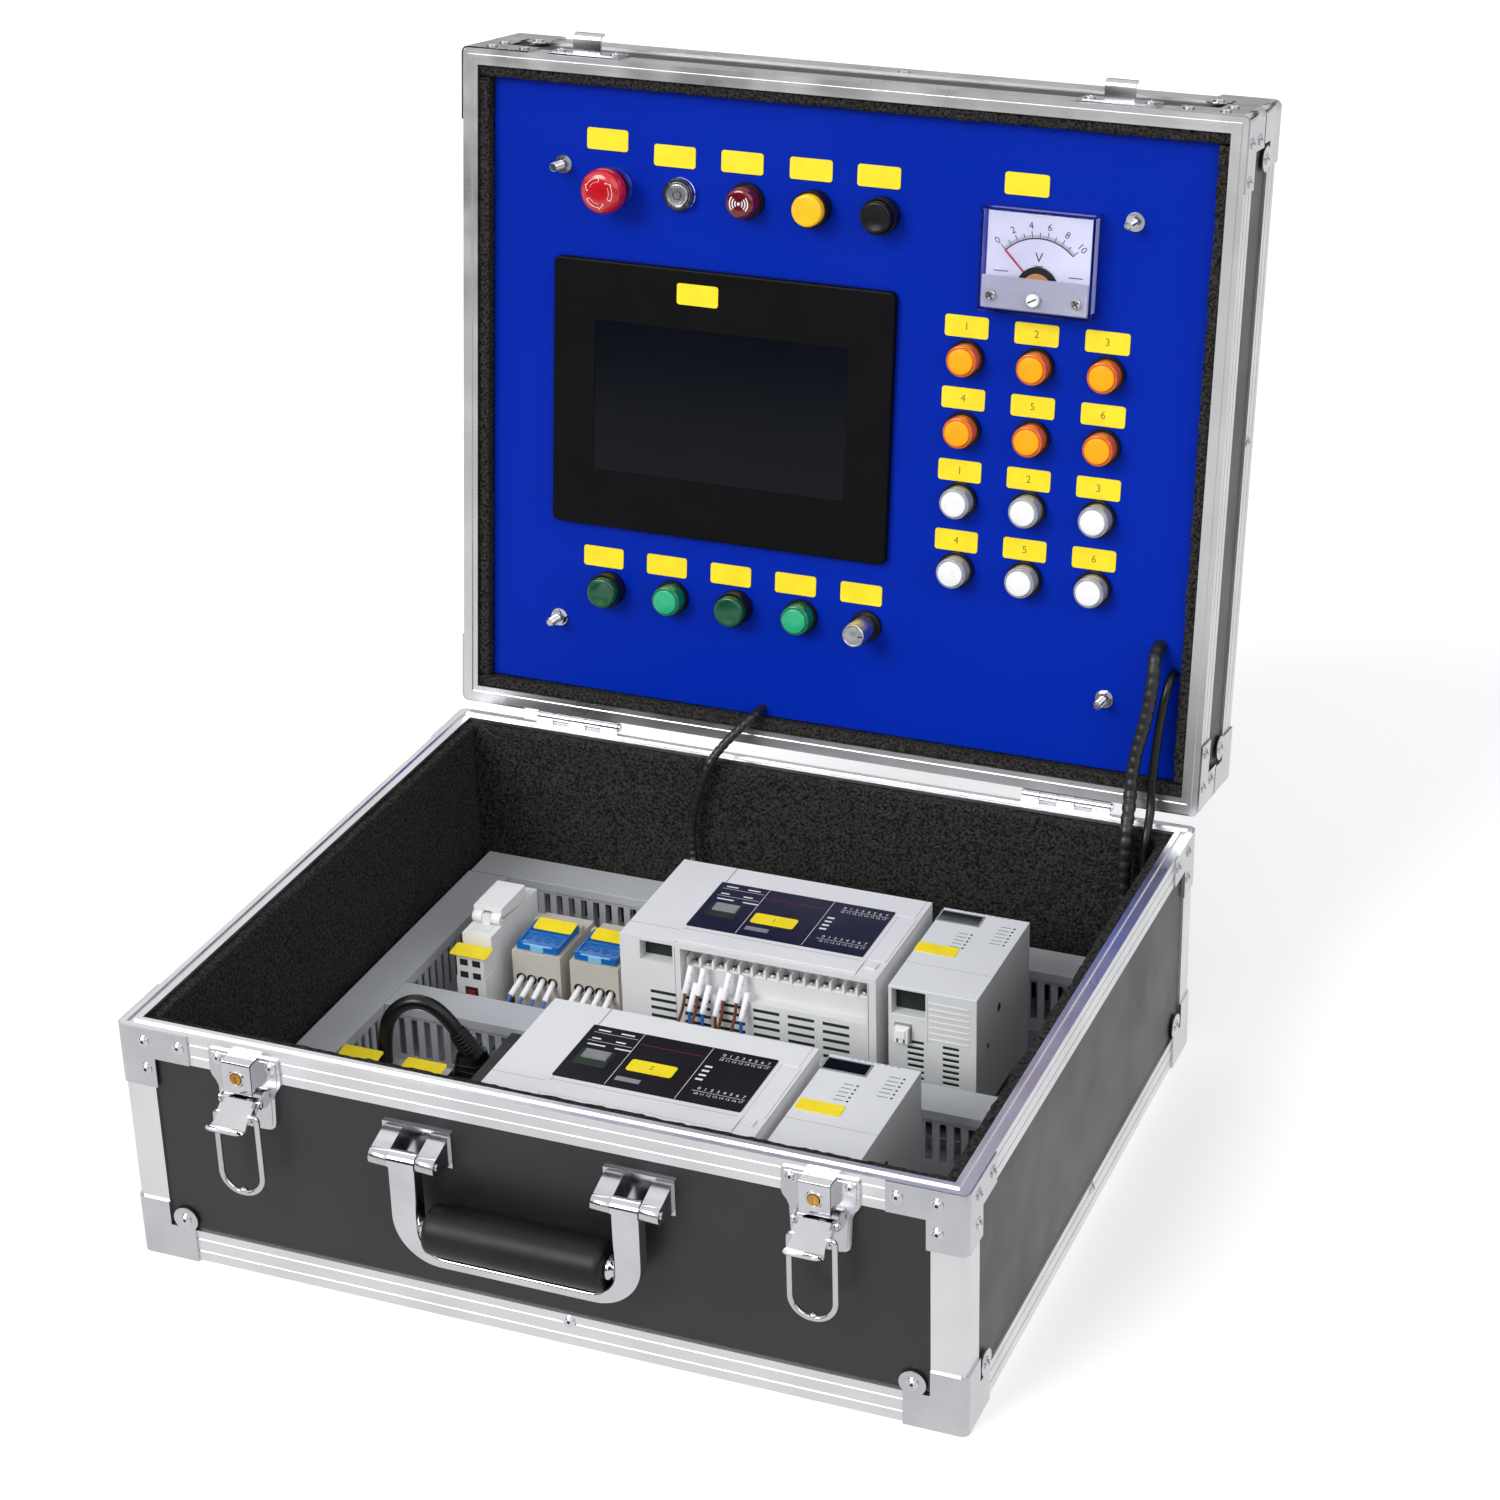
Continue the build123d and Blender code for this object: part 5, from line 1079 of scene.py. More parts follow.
def knob():
    bm = bmesh.new()
    place = lid_place(columns[4], lower_v, panel_face)
    lathe(bm, [(2.9, 2.6), (6.5, 3.0), (6.6, 3.6), (6.6, 5.4)], place, 120, 0)
    lathe(bm, [(6.55, 5.4), (6.6, 6.0), (6.6, 21.0), (6.55, 21.4)], place, 120, 0, ripple=0.022, ripples=40)
    top = [(6.55, 21.4), (6.5, 22.4), (6.1, 22.85), (5.6, 22.9), (5.2, 22.6), (4.9, 22.6), (0.9, 22.75),
           (0.0, 22.6)]
    lathe(bm, top, place, 120, 0)
    line_patch(bm, (3.0, 0.0), (6.0, 0.0), 0.7, 22.97, place, 1)
    finish_piece("knob_turned", bm, [brushed, black_print_and_painted_shade], "potentiometer_knob",
                 replaces=("potentiometer_knob",), angle=28)


knob()


def studs():
    """Threaded studs with hexagon nuts and washers."""
    bm = bmesh.new()
    for u in (-167.0, 167.0):
        for v in (57.0, 323.0):
            place = lid_place(u, v, panel_face)
            washer = [(2.6, -3.4), (4.9, -3.4), (4.9, 0.05), (5.2, 0.1), (5.2, 0.8), (2.4, 0.8)]
            lathe(bm, washer, place, 40)
            hexagon = [polar(4.5, 60 * turn + 12) for turn in range(6)]
            prism(bm, hexagon, 0.8, 3.9, place)
            profile = [(2.1, -50.0), (2.1, 3.9)]
            height = 3.9
            while height < 13.2:
                profile += [(2.5, height + 0.2), (2.5, height + 0.35), (2.1, height + 0.6)]
                height += 0.8
            profile += [(2.1, 13.4), (1.7, 13.9), (0, 13.95)]
            lathe(bm, profile, place, 32)
            rear = [polar(4.5, 60 * turn) for turn in range(6)]
            prism(bm, rear, -7.0, -3.4, place)
    finish_piece("threaded_studs", bm, nickel, "lid", replaces=("panel_studs",),
                 angle=30)


studs()


# The panel meter

def meter():
    place = lid_place(117.0, 297.5, panel_face)
    bm = bmesh.new()
    print_height = 7.05
    pivot = (0.0, -14.0)
    arc = Matrix.Translation((pivot[0], pivot[1], 0))
    ring_band(bm, 26.3, 27.0, 45, 135, print_height, place @ arc, 0, 48)
    for step in range(51):
        degrees = 135 - 90 * step / 50
        outer = 28.6
        if step % 5 == 0:
            outer = 30.6 if step % 10 == 0 else 29.8
        line_patch(bm, polar(26.8, degrees, *pivot), polar(outer, degrees, *pivot),
                   0.5 if step % 5 == 0 else 0.3, print_height, place, 0)
    for number in range(0, 11, 2):
        degrees = 135 - 9 * number
        spot = Matrix.Translation((*polar(33.4, degrees, *pivot), print_height))
        turn = Matrix.Rotation(math.radians(degrees) - math.pi / 2, 4, "Z")
        letters(bm, str(number), 5.4, place @ spot @ turn, 0)
    letters(bm, "V", 7.6, place @ at(0, 2.2, print_height), 0)
    line_patch(bm, (-2.6, -2.2), (2.6, -2.2), 0.5, print_height, place, 0)
    line_patch(bm, (-2.6, -3.4), (2.6, -3.4), 0.5, print_height, place, 0)
    for side in (-1, 1):
        line_patch(bm, (side * 25.0, -6.6), (side * 17.0, -6.6), 0.5, print_height, place, 0)
    finish_piece("dial_print", bm, black_print_and_painted_shade, "lid", merge=False)

    bm = bmesh.new()
    prism(bm, arc_points(11.5, 0, 180, 30, *pivot), 7.0, 8.6, place, 0)
    prism(bm, arc_points(8.0, 20, 160, 20, *pivot), 8.6, 9.0, place, 1)
    lathe(bm, [(2.6, 8.6), (2.6, 10.4), (2.0, 10.8), (0, 10.8)], place @ at(*pivot, 0), 32, 0)
    finish_piece("meter_hub", bm, [black_plastic, amber_glow], "lid")

    bm = bmesh.new()
    block(bm, -29.8, 29.8, -25.9, -8.5, 11.3, 12.3, place, 0)
    step = -29.0
    while step < 29.5:
        block(bm, step, step + 0.7, -25.7, -8.7, 12.3, 12.7, place, 0)
        step += 1.45
    step = -25.2
    while step < -9.0:
        block(bm, -29.6, 29.6, step, step + 0.7, 12.3, 12.7, place, 0)
        step += 1.45
    finish_piece("meter_window_strip", bm, frosted, "lid", merge=False)

    bm = bmesh.new()
    for side in (-1, 1):
        screw = place @ at(side * 24.0, -19.0, 0)
        lathe(bm, [(2.7, 13.95), (2.7, 14.7), (2.1, 15.2), (0, 15.35)], screw, 32, 0)
        # The cross slot is black strips laid on the head: painted shade.
        block(bm, -2.2, 2.2, -0.35, 0.35, 15.3, 15.45, screw @ Matrix.Rotation(0.6, 4, "Z"), 1)
        block(bm, -0.35, 0.35, -2.2, 2.2, 15.3, 15.45, screw @ Matrix.Rotation(0.6, 4, "Z"), 1)
    finish_piece("meter_screws", bm, [nickel, black_print_and_painted_shade], "lid")
    bm = bmesh.new()
    zero = place @ at(0, -19.5, 0)
    lathe(bm, [(3.6, 13.95), (3.6, 15.4), (3.1, 16.0), (0, 16.1)], zero, 40, 0)
    # The slot is a black strip laid on the head: painted shade.
    block(bm, -2.7, 2.7, -0.4, 0.4, 16.05, 16.2, zero @ Matrix.Rotation(0.5, 4, "Z"), 1)
    finish_piece("zero_screw", bm, [white_plastic, black_print_and_painted_shade], "lid")


meter()


# Name tags

def leaning_tag(bm, x, y, z, degrees, width, height):
    """A tag that leans back about x."""
    lean = Matrix.Rotation(math.radians(degrees), 4, "X")
    prism(bm, rounded(width, height, 1.4), 0.0, 0.5, at(x, y, z) @ lean, 0)


def tags(name, places, body):
    """Yellow name tags with rounded corners, bare or with a plain number."""
    bm = bmesh.new()
    for place, width, height, number in places:
        prism(bm, rounded(width, height, 1.6), 0.0, 0.45, place, 0)
        if number:
            letters(bm, number, height * 0.5, place @ at(0, 0, 0.5), 1)
    finish_piece(name, bm, [label_yellow, ink_olive], body, merge=False, bevel=0.12)


lid_tags = []
for u, v in ((columns[0] - 5, 339.0), (columns[1] - 4, 333.3), (columns[2] - 3.5, 333.6),
             (columns[3] - 2.8, 333.6), (columns[4] - 3.2, 333.4), (106.0, 337.0)):
    lid_tags.append((u, v, panel_face, ""))
lid_tags.append((-81.5, 258.0, panel_face + 5.0, ""))
for row, v in enumerate((256.8, 216.8, 176.0, 136.0)):
    for column, u in enumerate(lamp_columns):
        lid_tags.append((u - 1.0, v, panel_face, str(row % 2 * 3 + column + 1)))
lid_tags += [(u - 4.0, 97.3, panel_face, "") for u in columns]
tags("panel_tags", [(lid_place(*tag[:3]), 25.0, 12.0, tag[3]) for tag in lid_tags], "lid")


# Controllers and modules

rear_controller = (20.5, 81.0)
front_controller = (17.5, -84.0)
rear_module = (127.5, 81.0)
front_module = (123.5, -84.0)
controller_top = 100.0
face_plate = 0.35
module_top = 98.5
terminal_ledge = 83.0
terminal_count = 14
terminal_pitch = 7.62
supply_top = 44.5


def controller_face(name, centre, material):
    """The dark face with lines, plain numbers and a hatch."""
    place = at(centre[0], centre[1], controller_top)
    bm = bmesh.new()
    middle = Matrix.Translation((8.0, 1.2, 0))
    prism(bm, rounded(104.0, 52.0, 0.8, 2), 0.0, face_plate, place @ middle, 0)
    # A dark patch round and under the hatch: painted shade of the opening there.
    block(bm, -39.5, -21.5, -11.0, 4.5, 0.3, 0.5, place, 4)
    block(bm, -37.0, -23.0, -4.5, 3.2, 0.5, 1.3, place, 2)
    for line in range(5):
        block(bm, -36.6, -23.4, -3.9 + line * 1.45, -3.3 + line * 1.45, 1.3, 1.6, place, 2)
    block(bm, -12.0, 1.5, -18.5, -14.8, 0.35, 0.55, place, 2)
    top = 0.42
    for start, end in (((-41.0, 20.6), (-16.0, 20.6)), ((-41.0, 12.4), (-16.0, 12.4)),
                       ((-14.8, 27.0), (-14.8, -24.5)), ((24.0, 27.0), (24.0, -24.5)),
                       ((31.0, 19.6), (58.5, 19.6)), ((29.0, -14.0), (58.0, -14.0))):
        line_patch(bm, start, end, 0.28, top, place, 1)
    for index in range(8):
        x = 32.0 + index * 3.5
        for figure, size, y in ((index, 3.4, 21.9), (index, 3.4, -11.4), (10 + index, 2.7, 17.4),
                                (10 + index, 2.7, -16.4)):
            letters(bm, str(figure), size, place @ at(x, y, top), 1)
    for index in range(4):
        block(bm, 26.5, 30.5, 8.3 - index * 4.2, 9.9 - index * 4.2, 0.35, 0.42, place, 1)
    for x, y, width in ((-39.5, 22.6, 7.0), (-26.5, 22.6, 7.5), (-39.5, 14.4, 5.0), (-26.0, 14.4, 5.5),
                        (-39.5, 8.4, 10.0), (-24.0, 8.4, 9.0)):
        block(bm, x, x + width, y, y + 1.1, 0.35, 0.42, place, 1)
    line_patch(bm, (-13.5, 17.2), (22.5, 17.2), 0.25, top, place, 3)
    finish_piece(name, bm, [material, ink_white, hatch_grey, ink_red, painted_shade_dark], "base",
                 merge=False)


controller_face("controller_1_face", rear_controller, face_navy)
controller_face("controller_2_face", front_controller, face_black)


def controller_details(name, centre):
    """Terminal screws, dark louvre backs of painted shade, raised strips and the clip on the column."""
    x, y = centre
    bm = bmesh.new()
    for index in range(terminal_count):
        sx = x - 34.0 + index * terminal_pitch
        place = at(sx, y - 34.0, terminal_ledge)
        block(bm, -2.9, 2.9, -3.4, 3.2, 0.0, 0.6, place, 1)
        lathe(bm, [(2.5, 0.6), (2.5, 1.7), (1.9, 2.3), (0, 2.45)], place, 24, 0)
        turned = place @ Matrix.Rotation(math.radians(20 + 47 * index), 4, "Z")
        # The cross slot is black strips laid on the head: painted shade.
        block(bm, -1.9, 1.9, -0.32, 0.32, 2.38, 2.5, turned, 2)
        block(bm, -0.32, 0.32, -1.9, 1.9, 2.38, 2.5, turned, 2)
    finish_piece(name + "_screws", bm, [brushed, white_plastic, black_print_and_painted_shade], "base")

    bm = bmesh.new()
    for index in range(terminal_count + 1):
        sx = x - 38.4 + index * terminal_pitch
        block(bm, sx - 0.1, sx + 1.3, y - 38.2, y - 28.5, terminal_ledge, 88.6)
    finish_piece(name + "_dividers", bm, white_plastic, "base", bevel=0.25)

    bm = bmesh.new()
    # Dark sheets behind the louvres and in the column port: painted shade.
    block(bm, x - 57.5, x + 59.5, y - 44.6, y - 41.9, 30.0, 68.0)
    block(bm, x - 62.8, x - 43.7, y - 37.5, y - 31.1, 86.2, 97.8)
    finish_piece(name + "_inside", bm, painted_shade_dark, "base")

    bm = bmesh.new()
    for x0, x1, y0, y1, height in ((-44.5, 62.5, -41.6, -29.6, 0.5), (63.0, 73.6, -26.5, 23.5, 0.5),
                                   (64.5, 71.0, -35.5, -29.5, 1.0)):
        block(bm, x + x0, x + x1, y + y0, y + y1, controller_top, controller_top + height)
    finish_piece(name + "_strips", bm, body_grey, "base", bevel=0.3)

    bm = bmesh.new()
    for start, end in (((-42.2, -44.8), (-42.2, -25.0)), ((-42.2, 28.4), (-42.2, 44.8)),
                       ((62.8, -44.8), (62.8, 25.0)), ((-44.5, -28.2), (60.5, -28.2)),
                       ((-75.0, -30.5), (-42.2, -30.5))):
        line_patch(bm, start, end, 0.3, controller_top + 0.06, at(x, y, 0), 0)
    block(bm, x - 42.35, x - 42.05, y - 45.06, y - 44.9, 52.0, 97.5)
    block(bm, x + 70.4, x + 70.8, y - 45.06, y - 44.9, 17.0, 97.0)
    finish_piece(name + "_seams", bm, hatch_grey, "base", merge=False)


controller_details("controller_1", rear_controller)
controller_details("controller_2", front_controller)

base_tags = [
    (at(21.0, 76.0, controller_top + face_plate), 25.5, 10.6, "1"),
    (at(19.5, -86.8, controller_top + face_plate), 25.5, 10.6, "2"),
    (at(114.4, 79.9, module_top), 23.6, 10.0, ""),
    (at(112.3, -88.6, module_top), 24.4, 10.0, ""),
]
tags("base_tags", base_tags, "base")


def module_details(name, centre):
    x, y = centre
    top = module_top
    bm = bmesh.new()
    block(bm, x - 25.0, x + 0.5, y + 29.6, y + 41.8, top, top + 0.25, index=1)
    block(bm, x - 23.8, x - 0.7, y + 30.9, y + 40.6, top + 0.2, top + 0.4)
    for column, (cx, rows, width) in enumerate(((x - 8.0, 5, 5.5), (x + 11.5, 6, 6.0))):
        for row in range(rows):
            ry = y + (20.0 if column == 0 else 34.0) - row * 3.8
            block(bm, cx, cx + width, ry, ry + 0.7, top, top + 0.08, index=2)
            lathe(bm, [(0.7, 0), (0.7, 0.15), (0, 0.15)], at(cx + width + 2.0, ry + 0.35, top), 12, 3)
    for dash in range(8):
        block(bm, x - 13.0 + dash * 3.6, x - 11.4 + dash * 3.6, y + 43.6, y + 44.1, top, top + 0.08,
              index=2)
    line_patch(bm, (x - 25.0, y - 18.4), (x + 25.0, y - 18.4), 0.3, top + 0.03, index=2)
    finish_piece(name + "_display", bm, [screen_glass, hatch_grey, hatch_grey, black_print_and_painted_shade], "base",
                 merge=False)

    bm = bmesh.new()
    front = y - 45.0
    z = 68.5
    while z < 94:
        block(bm, x - 2.0, x + 21.0, front - 0.35, front + 0.3, z, z + 1.5)
        z += 3.7
    block(bm, x - 3.4, x - 2.6, front - 0.3, front + 0.2, 66.0, 97.0)
    finish_piece(name + "_ribs", bm, module_grey, "base", bevel=0.25)

    bm = bmesh.new()
    # Dark sheets behind the front and in the port, and discs on the right side: painted shade of openings.
    block(bm, x - 14.0, x + 15.0, front + 0.4, front + 3.1, 38.0, 67.5)
    block(bm, x - 22.8, x - 4.2, front + 7.0, front + 11.9, 81.8, 96.4)
    for yy, zz, radius in ((y - 8.0, 74.0, 2.6), (y - 26.0, 60.0, 1.6)):
        lathe(bm, [(radius, 0.0), (radius, 0.12), (0, 0.12)], at(x + 25.0, yy, zz) @ facing_right, 28, 0)
    finish_piece(name + "_inside", bm, painted_shade_dark, "base")

    bm = bmesh.new()
    cx, cz = x - 16.5, 71.0
    block(bm, cx - 4.9, cx + 4.9, front - 0.8, front + 1.2, cz - 6.0, cz + 5.6, index=1)
    block(bm, cx - 4.0, cx + 4.0, front - 4.2, front + 0.4, cz - 4.6, cz + 4.4)
    block(bm, cx - 2.6, cx + 2.6, front - 4.8, front - 4.0, cz - 1.6, cz + 3.4)
    for pin in (cx - 1.9, cx + 1.9):
        block(bm, pin - 0.5, pin + 0.5, front - 4.4, front - 3.9, cz - 4.4, cz - 2.0, index=2)
    finish_piece(name + "_connector", bm, [white_plastic, hatch_grey, black_print_and_painted_shade], "base",
                 bevel=0.25)


module_details("module_1", rear_module)
module_details("module_2", front_module)


# Fuse holder, distribution blocks, switch and supply

def fuse_details():
    bm = bmesh.new()
    front = 41.0
    # The openings are black patches and a black disc: painted shade in them.
    for column in (-1, 1):
        for row in (0, 1):
            cx = -151.0 + column * 3.9
            cz = 59.0 - row * 8.0
            block(bm, cx - 2.5, cx + 2.5, front - 0.06, front + 0.2, cz - 2.0, cz + 2.0)
    block(bm, -155.0, -147.0, front - 0.06, front + 0.2, 37.0, 43.5)
    block(bm, -153.6, -149.0, front - 0.12, front, 38.2, 41.6, index=3)
    block(bm, -157.0, -145.0, 55.0, 63.5, 71.9, 72.1, index=2)
    lathe(bm, [(1.3, 0), (1.3, 0.2), (0, 0.2)], at(-151.0, 101.5, 72.0), 20, 0)
    finish_piece("fuse_openings", bm, [black_print_and_painted_shade, hatch_grey, body_grey, ink_red], "base")
    bm = bmesh.new()
    block(bm, -159.6, -142.4, 41.0, 51.0, 49.9, 64.6)
    finish_piece("fuse_front", bm, white_plastic, "base", bevel=0.6)
    bm = bmesh.new()
    leaning_tag(bm, -151.0, 43.8, 65.0, 6, 23.0, 11.5)
    finish_piece("fuse_tag", bm, label_yellow, "base", bevel=0.12)


fuse_details()


def block_details():
    bm = bmesh.new()
    for x in (-118.0, -82.0):
        for index in range(4):
            wire_x = x + (index - 1.5) * 6.5
            ring = at(wire_x, 58.0, 45.0) @ facing_front
            socket = [(2.9, 0.0), (3.05, 0.35), (2.6, 0.5), (2.2, 0.1), (2.2, -2.3), (0, -2.3)]
            lathe(bm, socket, ring, 28, 0)
    finish_piece("block_sockets", bm, black_plastic, "base")


block_details()


def block_cover_details(name, x, body):
    """The ribs, window frames and screw wells of a clear cover."""
    bm = bmesh.new()
    z0 = 65.8
    for side in (-1, 1):
        block(bm, x + side * 12.4 - 0.8, x + side * 12.4 + 0.8, 61.0, 88.0, z0, z0 + 0.9)
    for y in (61.8, 74.0, 87.2):
        block(bm, x - 12.4, x + 12.4, y - 0.7, y + 0.7, z0, z0 + 0.9)
    for index in range(4):
        cx = x + (index - 1.5) * 6.0
        lathe(bm, [(2.0, 0.0), (2.0, 0.5), (1.5, 0.5), (1.5, 0.05), (0, 0.05)], at(cx, 67.8, z0), 24, 0)
        block(bm, cx - 1.7, cx + 1.7, 71.4, 73.0, z0, z0 + 0.4)
    block(bm, x - 9.0, x + 9.0, 60.2, 61.4, z0 - 2.6, z0 + 0.6, index=1)
    block(bm, x - 4.0, x + 4.0, 59.4, 60.4, z0 - 3.4, z0 + 0.2, index=1)
    finish_piece(name, bm, [clear_blue, pale_blue], body, bevel=0.15)
    bm = bmesh.new()
    leaning_tag(bm, x + 1.0, 82.6, z0 + 1.5, 9, 24.0, 10.5)
    for foot in (x - 8.0, x + 10.0):
        block(bm, foot - 1.0, foot + 1.0, 79.0, 86.0, z0 - 0.2, z0 + 1.4, index=1)
    finish_piece(name + "_tag", bm, [label_yellow, clear_blue], body, bevel=0.12)


block_cover_details("cover_ribs_left", -118.0, "block_cover_left")
block_cover_details("cover_ribs_right", -82.0, "block_cover_right")


def switch_details():
    """The frames and contacts of the ports in the switch's top."""
    bm = bmesh.new()
    top = 57.5
    pitch = 13.2
    x0, x1 = -80.5, -66.9
    for index in range(5):
        y = -52.0 + (index - 2) * pitch
        for left, right, near, far in ((x0 - 0.6, x1 + 0.6, y - 6.4, y - 5.6),
                                       (x0 - 0.6, x1 + 0.6, y + 5.6, y + 6.4),
                                       (x0 - 0.8, x0, y - 6.4, y + 6.4), (x1, x1 + 0.8, y - 6.4, y + 6.4)):
            block(bm, left, right, near, far, top - 0.2, top + 0.4)
        for pin in range(8):
            px = x0 + 1.8 + pin * 1.3
            block(bm, px, px + 0.5, y - 5.6, y + 1.0, top - 7.6, top - 7.0, index=1)
    finish_piece("switch_ports", bm, [cream_plastic, brass], "base")


switch_details()


def supply_details():
    """The vent holes of the supply, and the red bodies and black tops of its fuse blocks."""
    bm = bmesh.new()
    # The vent holes are dark discs: painted shade in them.
    for column in range(9):
        for row in range(8):
            cx = -175.0 + column * 6.2
            cy = -126.0 + row * 6.2
            lathe(bm, [(1.7, 0.0), (1.7, 0.06), (0, 0.06)], at(cx, cy, supply_top), 16, 0)
    finish_piece("supply_vents", bm, painted_shade_dark, "base")
    bm = bmesh.new()
    for x in (-170.0, -133.0):
        block(bm, x - 7.3, x + 7.3, -66.3, -51.7, supply_top, 51.0)
        block(bm, x - 7.1, x + 7.1, -66.1, -51.9, 51.0, 53.8, index=1)
        block(bm, x - 5.0, x + 5.0, -64.0, -54.0, 53.8, 54.4, index=1)
    finish_piece("supply_blocks", bm, [stop_red, black_plastic], "base", bevel=0.4)
    bm = bmesh.new()
    for x in (-166.5, -128.0):
        leaning_tag(bm, x, -60.5, 54.5, 8, 24.0, 11.0)
    finish_piece("supply_tags", bm, label_yellow, "base", bevel=0.12)


supply_details()


def plug_details():
    """The ribs of the plug's strain relief and the grip lines on its body."""
    bm = bmesh.new()
    start = Vector((-109.5, -40.0, 56.5))
    end = Vector((-117.0, -41.0, 68.5))
    run = end - start
    place = Matrix.Translation(start) @ run.to_track_quat("Z", "X").to_matrix().to_4x4()
    length = run.length
    for index in range(6):
        height = 1.2 + index * (length - 2.0) / 5.4
        share = height / length
        radius = 6.1 - 1.1 * share
        low, high = radius - 0.8, radius + 0.25
        lathe(bm, [(low, height - 0.9), (high, height - 0.6), (high, height + 0.5), (low, height + 0.8)],
              place, 32)
    for index in range(5):
        z = 37.0 + index * 3.4
        size = 20.5 - (z - 32.5) / 24.0 * 6.0
        deep = 22.5 - (z - 32.5) / 24.0 * 7.0
        prism(bm, rounded(size, deep, 4.0), z, z + 1.5, at(-109.5, -40.0, 0))
    finish_piece("plug_ribs", bm, rubber, "base", bevel=0.3, merge=False)


plug_details()


# Handle

handle_y = -206.0
grip_z = 64.3
grip_half = 47.6


def handle_details():
    """The grip, which fills the space between the legs, and the chrome ends of its rod."""
    bm = bmesh.new()
    place = at(0, handle_y, grip_z) @ facing_right
    run = [(4.1, -grip_half), (11.2, -grip_half), (12.0, -47.2), (12.6, -46.4), (12.9, -45.0),
           (13.0, -43.0)]
    lathe(bm, run + [(13.0, 0.0)] + [(radius, -height) for radius, height in run[::-1]], place, 64)
    finish_piece("soft_grip", bm, grip_black, "handle", replaces=("handle_grip",),
                 angle=50)
    bm = bmesh.new()
    for side in (-1, 1):
        turn = Matrix.Rotation(math.radians(90 * side), 4, "Y")
        end = at(side * grip_half, handle_y, grip_z) @ turn
        ferrule = [(3.0, -0.2), (5.6, -0.2), (6.3, 0.6), (6.5, 1.6), (6.1, 2.8), (4.9, 3.8), (4.2, 4.9)]
        lathe(bm, ferrule, end, 40)
    finish_piece("grip_ends", bm, chrome, "handle", angle=40)


handle_details()


# Floor, lamps and background

def grey(level):
    return (level, level, level, 1)


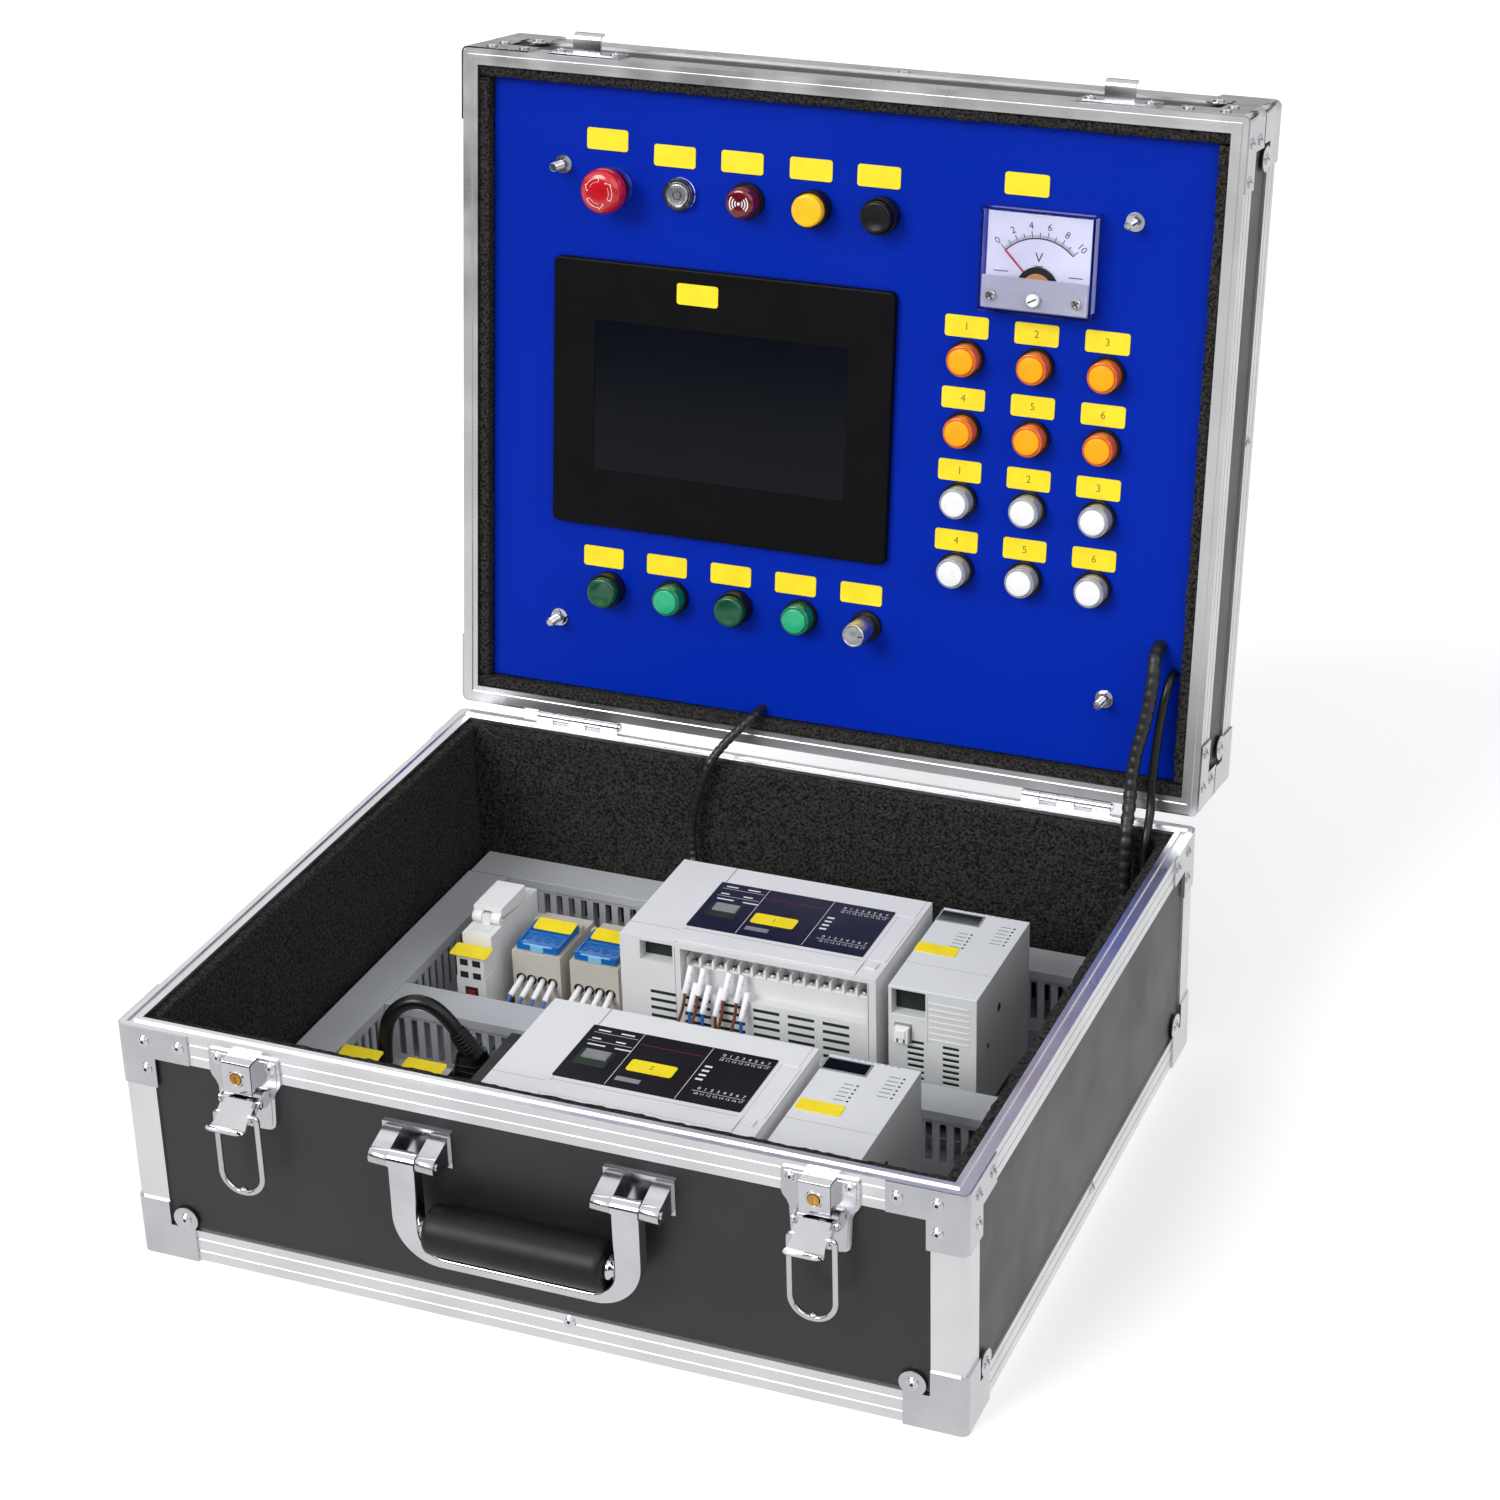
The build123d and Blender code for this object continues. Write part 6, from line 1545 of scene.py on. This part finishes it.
def studio():
    bm = bmesh.new()
    half = 9000.0
    steps = 12
    ticks = [-half + 2 * half * step / steps for step in range(steps + 1)]
    net(bm, [[bm.verts.new(Vector((x, y, -0.05))) for y in ticks] for x in ticks])
    mesh = bpy.data.meshes.new("floor")
    bm.to_mesh(mesh)
    bm.free()
    mesh.transform(to_metres)
    material = bpy.data.materials.new("floor_white")
    material.use_nodes = True
    tree = material.node_tree
    tree.nodes.clear()
    output = add_node(tree, "OutputMaterial")
    diffuse = add_node(tree, "BsdfDiffuse")
    glow = add_node(tree, "Emission")
    rays = add_node(tree, "LightPath")
    strength = add_node(tree, "Math")
    strength.operation = "MULTIPLY"
    strength.inputs[1].default_value = 0.36
    shade = add_node(tree, "MixRGB", Color1=grey(0.55), Color2=grey(0.76))
    total = add_node(tree, "AddShader")
    mirrored = add_node(tree, "Emission", Strength=0.9)
    choose = add_node(tree, "MixShader")
    for source, target in ((rays.outputs["Is Camera Ray"], strength.inputs[0]),
                           (rays.outputs["Is Camera Ray"], shade.inputs["Fac"]),
                           (shade.outputs["Color"], diffuse.inputs["Color"]),
                           (strength.outputs[0], glow.inputs["Strength"]),
                           (diffuse.outputs[0], total.inputs[0]), (glow.outputs[0], total.inputs[1]),
                           (rays.outputs["Is Glossy Ray"], choose.inputs[0]),
                           (total.outputs[0], choose.inputs[1]), (mirrored.outputs[0], choose.inputs[2]),
                           (choose.outputs[0], output.inputs["Surface"])):
        tree.links.new(source, target)
    mesh.materials.append(material)
    floor = bpy.data.objects.new("floor", mesh)
    collection.objects.link(floor)
    floor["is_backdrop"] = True

    world = bpy.data.worlds.new("studio")
    bpy.context.scene.world = world
    world.use_nodes = True
    tree = world.node_tree
    tree.nodes.clear()
    output = add_node(tree, "OutputWorld")
    dim = add_node(tree, "Background", Color=(0.95, 0.97, 1.0, 1), Strength=0.72)
    bright = add_node(tree, "Background", Strength=1.0)
    where = add_node(tree, "TexCoord")
    parts = add_node(tree, "SeparateXYZ")
    band = add_node(tree, "ValToRGB")
    band.color_ramp.elements[0].position = 0.0
    band.color_ramp.elements[0].color = grey(0.9)
    band.color_ramp.elements[1].position = 0.42
    band.color_ramp.elements[1].color = grey(1)
    for position, level in ((0.03, 0.06), (0.22, 0.14), (0.31, 0.8)):
        band.color_ramp.elements.new(position).color = grey(level)
    plain_white = add_node(tree, "MixRGB", Color2=grey(1))
    rays = add_node(tree, "LightPath")
    first = add_node(tree, "Math")
    second = add_node(tree, "Math")
    first.operation = second.operation = "MAXIMUM"
    mix = add_node(tree, "MixShader")
    for source, target in ((where.outputs["Generated"], parts.inputs[0]),
                           (parts.outputs["Z"], band.inputs["Fac"]),
                           (band.outputs["Color"], plain_white.inputs["Color1"]),
                           (plain_white.outputs["Color"], bright.inputs["Color"]),
                           (rays.outputs["Is Camera Ray"], first.inputs[0]),
                           (rays.outputs["Is Camera Ray"], plain_white.inputs["Fac"]),
                           (rays.outputs["Is Glossy Ray"], first.inputs[1]),
                           (first.outputs[0], second.inputs[0]),
                           (rays.outputs["Is Transmission Ray"], second.inputs[1]),
                           (second.outputs[0], mix.inputs[0]), (dim.outputs[0], mix.inputs[1]),
                           (bright.outputs[0], mix.inputs[2]), (mix.outputs[0], output.inputs["Surface"])):
        tree.links.new(source, target)

    def sun(name, strength, angle, tilt, turn):
        data = bpy.data.lights.new(name, "SUN")
        data.energy = strength
        data.angle = math.radians(angle)
        lamp = bpy.data.objects.new(name, data)
        lamp.rotation_euler = (math.radians(tilt), 0, math.radians(turn))
        collection.objects.link(lamp)

    sun("key", 2.0, 30, 56, -28)
    sun("fill", 0.8, 60, 62, 55)

    def flag(name, corners, level):
        """A dark board beside the set, seen only in reflections."""
        board = bpy.data.meshes.new(name)
        board.from_pydata(corners, [], [(0, 1, 2, 3)])
        shade = bpy.data.materials.new(name)
        shade.use_nodes = True
        shader = shade.node_tree.nodes["Principled BSDF"]
        shader.inputs["Base Color"].default_value = grey(level)
        shader.inputs["Roughness"].default_value = 1.0
        board.materials.append(shade)
        holder = bpy.data.objects.new(name, board)
        holder.visible_camera = False
        holder.visible_diffuse = False
        holder.visible_shadow = False
        holder.visible_transmission = False
        collection.objects.link(holder)
        holder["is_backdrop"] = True

    flag("flag_front", [(-2.6, -2.2, 0.0), (-0.9, -2.8, 0.0), (-0.9, -2.8, 1.3), (-2.6, -2.2, 1.3)], 0.05)
    flag("flag_right", [(1.9, -2.2, 0.0), (2.7, -1.2, 0.0), (2.7, -1.2, 1.5), (1.9, -2.2, 1.5)], 0.05)


studio()
bpy.context.scene.view_settings.view_transform = "Standard"

visual_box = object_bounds()


def plain(value):
    """Corners as plain lists of numbers."""
    if isinstance(value, (int, float)):
        return float(value)
    return [plain(item) for item in value]


{"cad": plain(cad_box), "visual": plain(visual_box)}
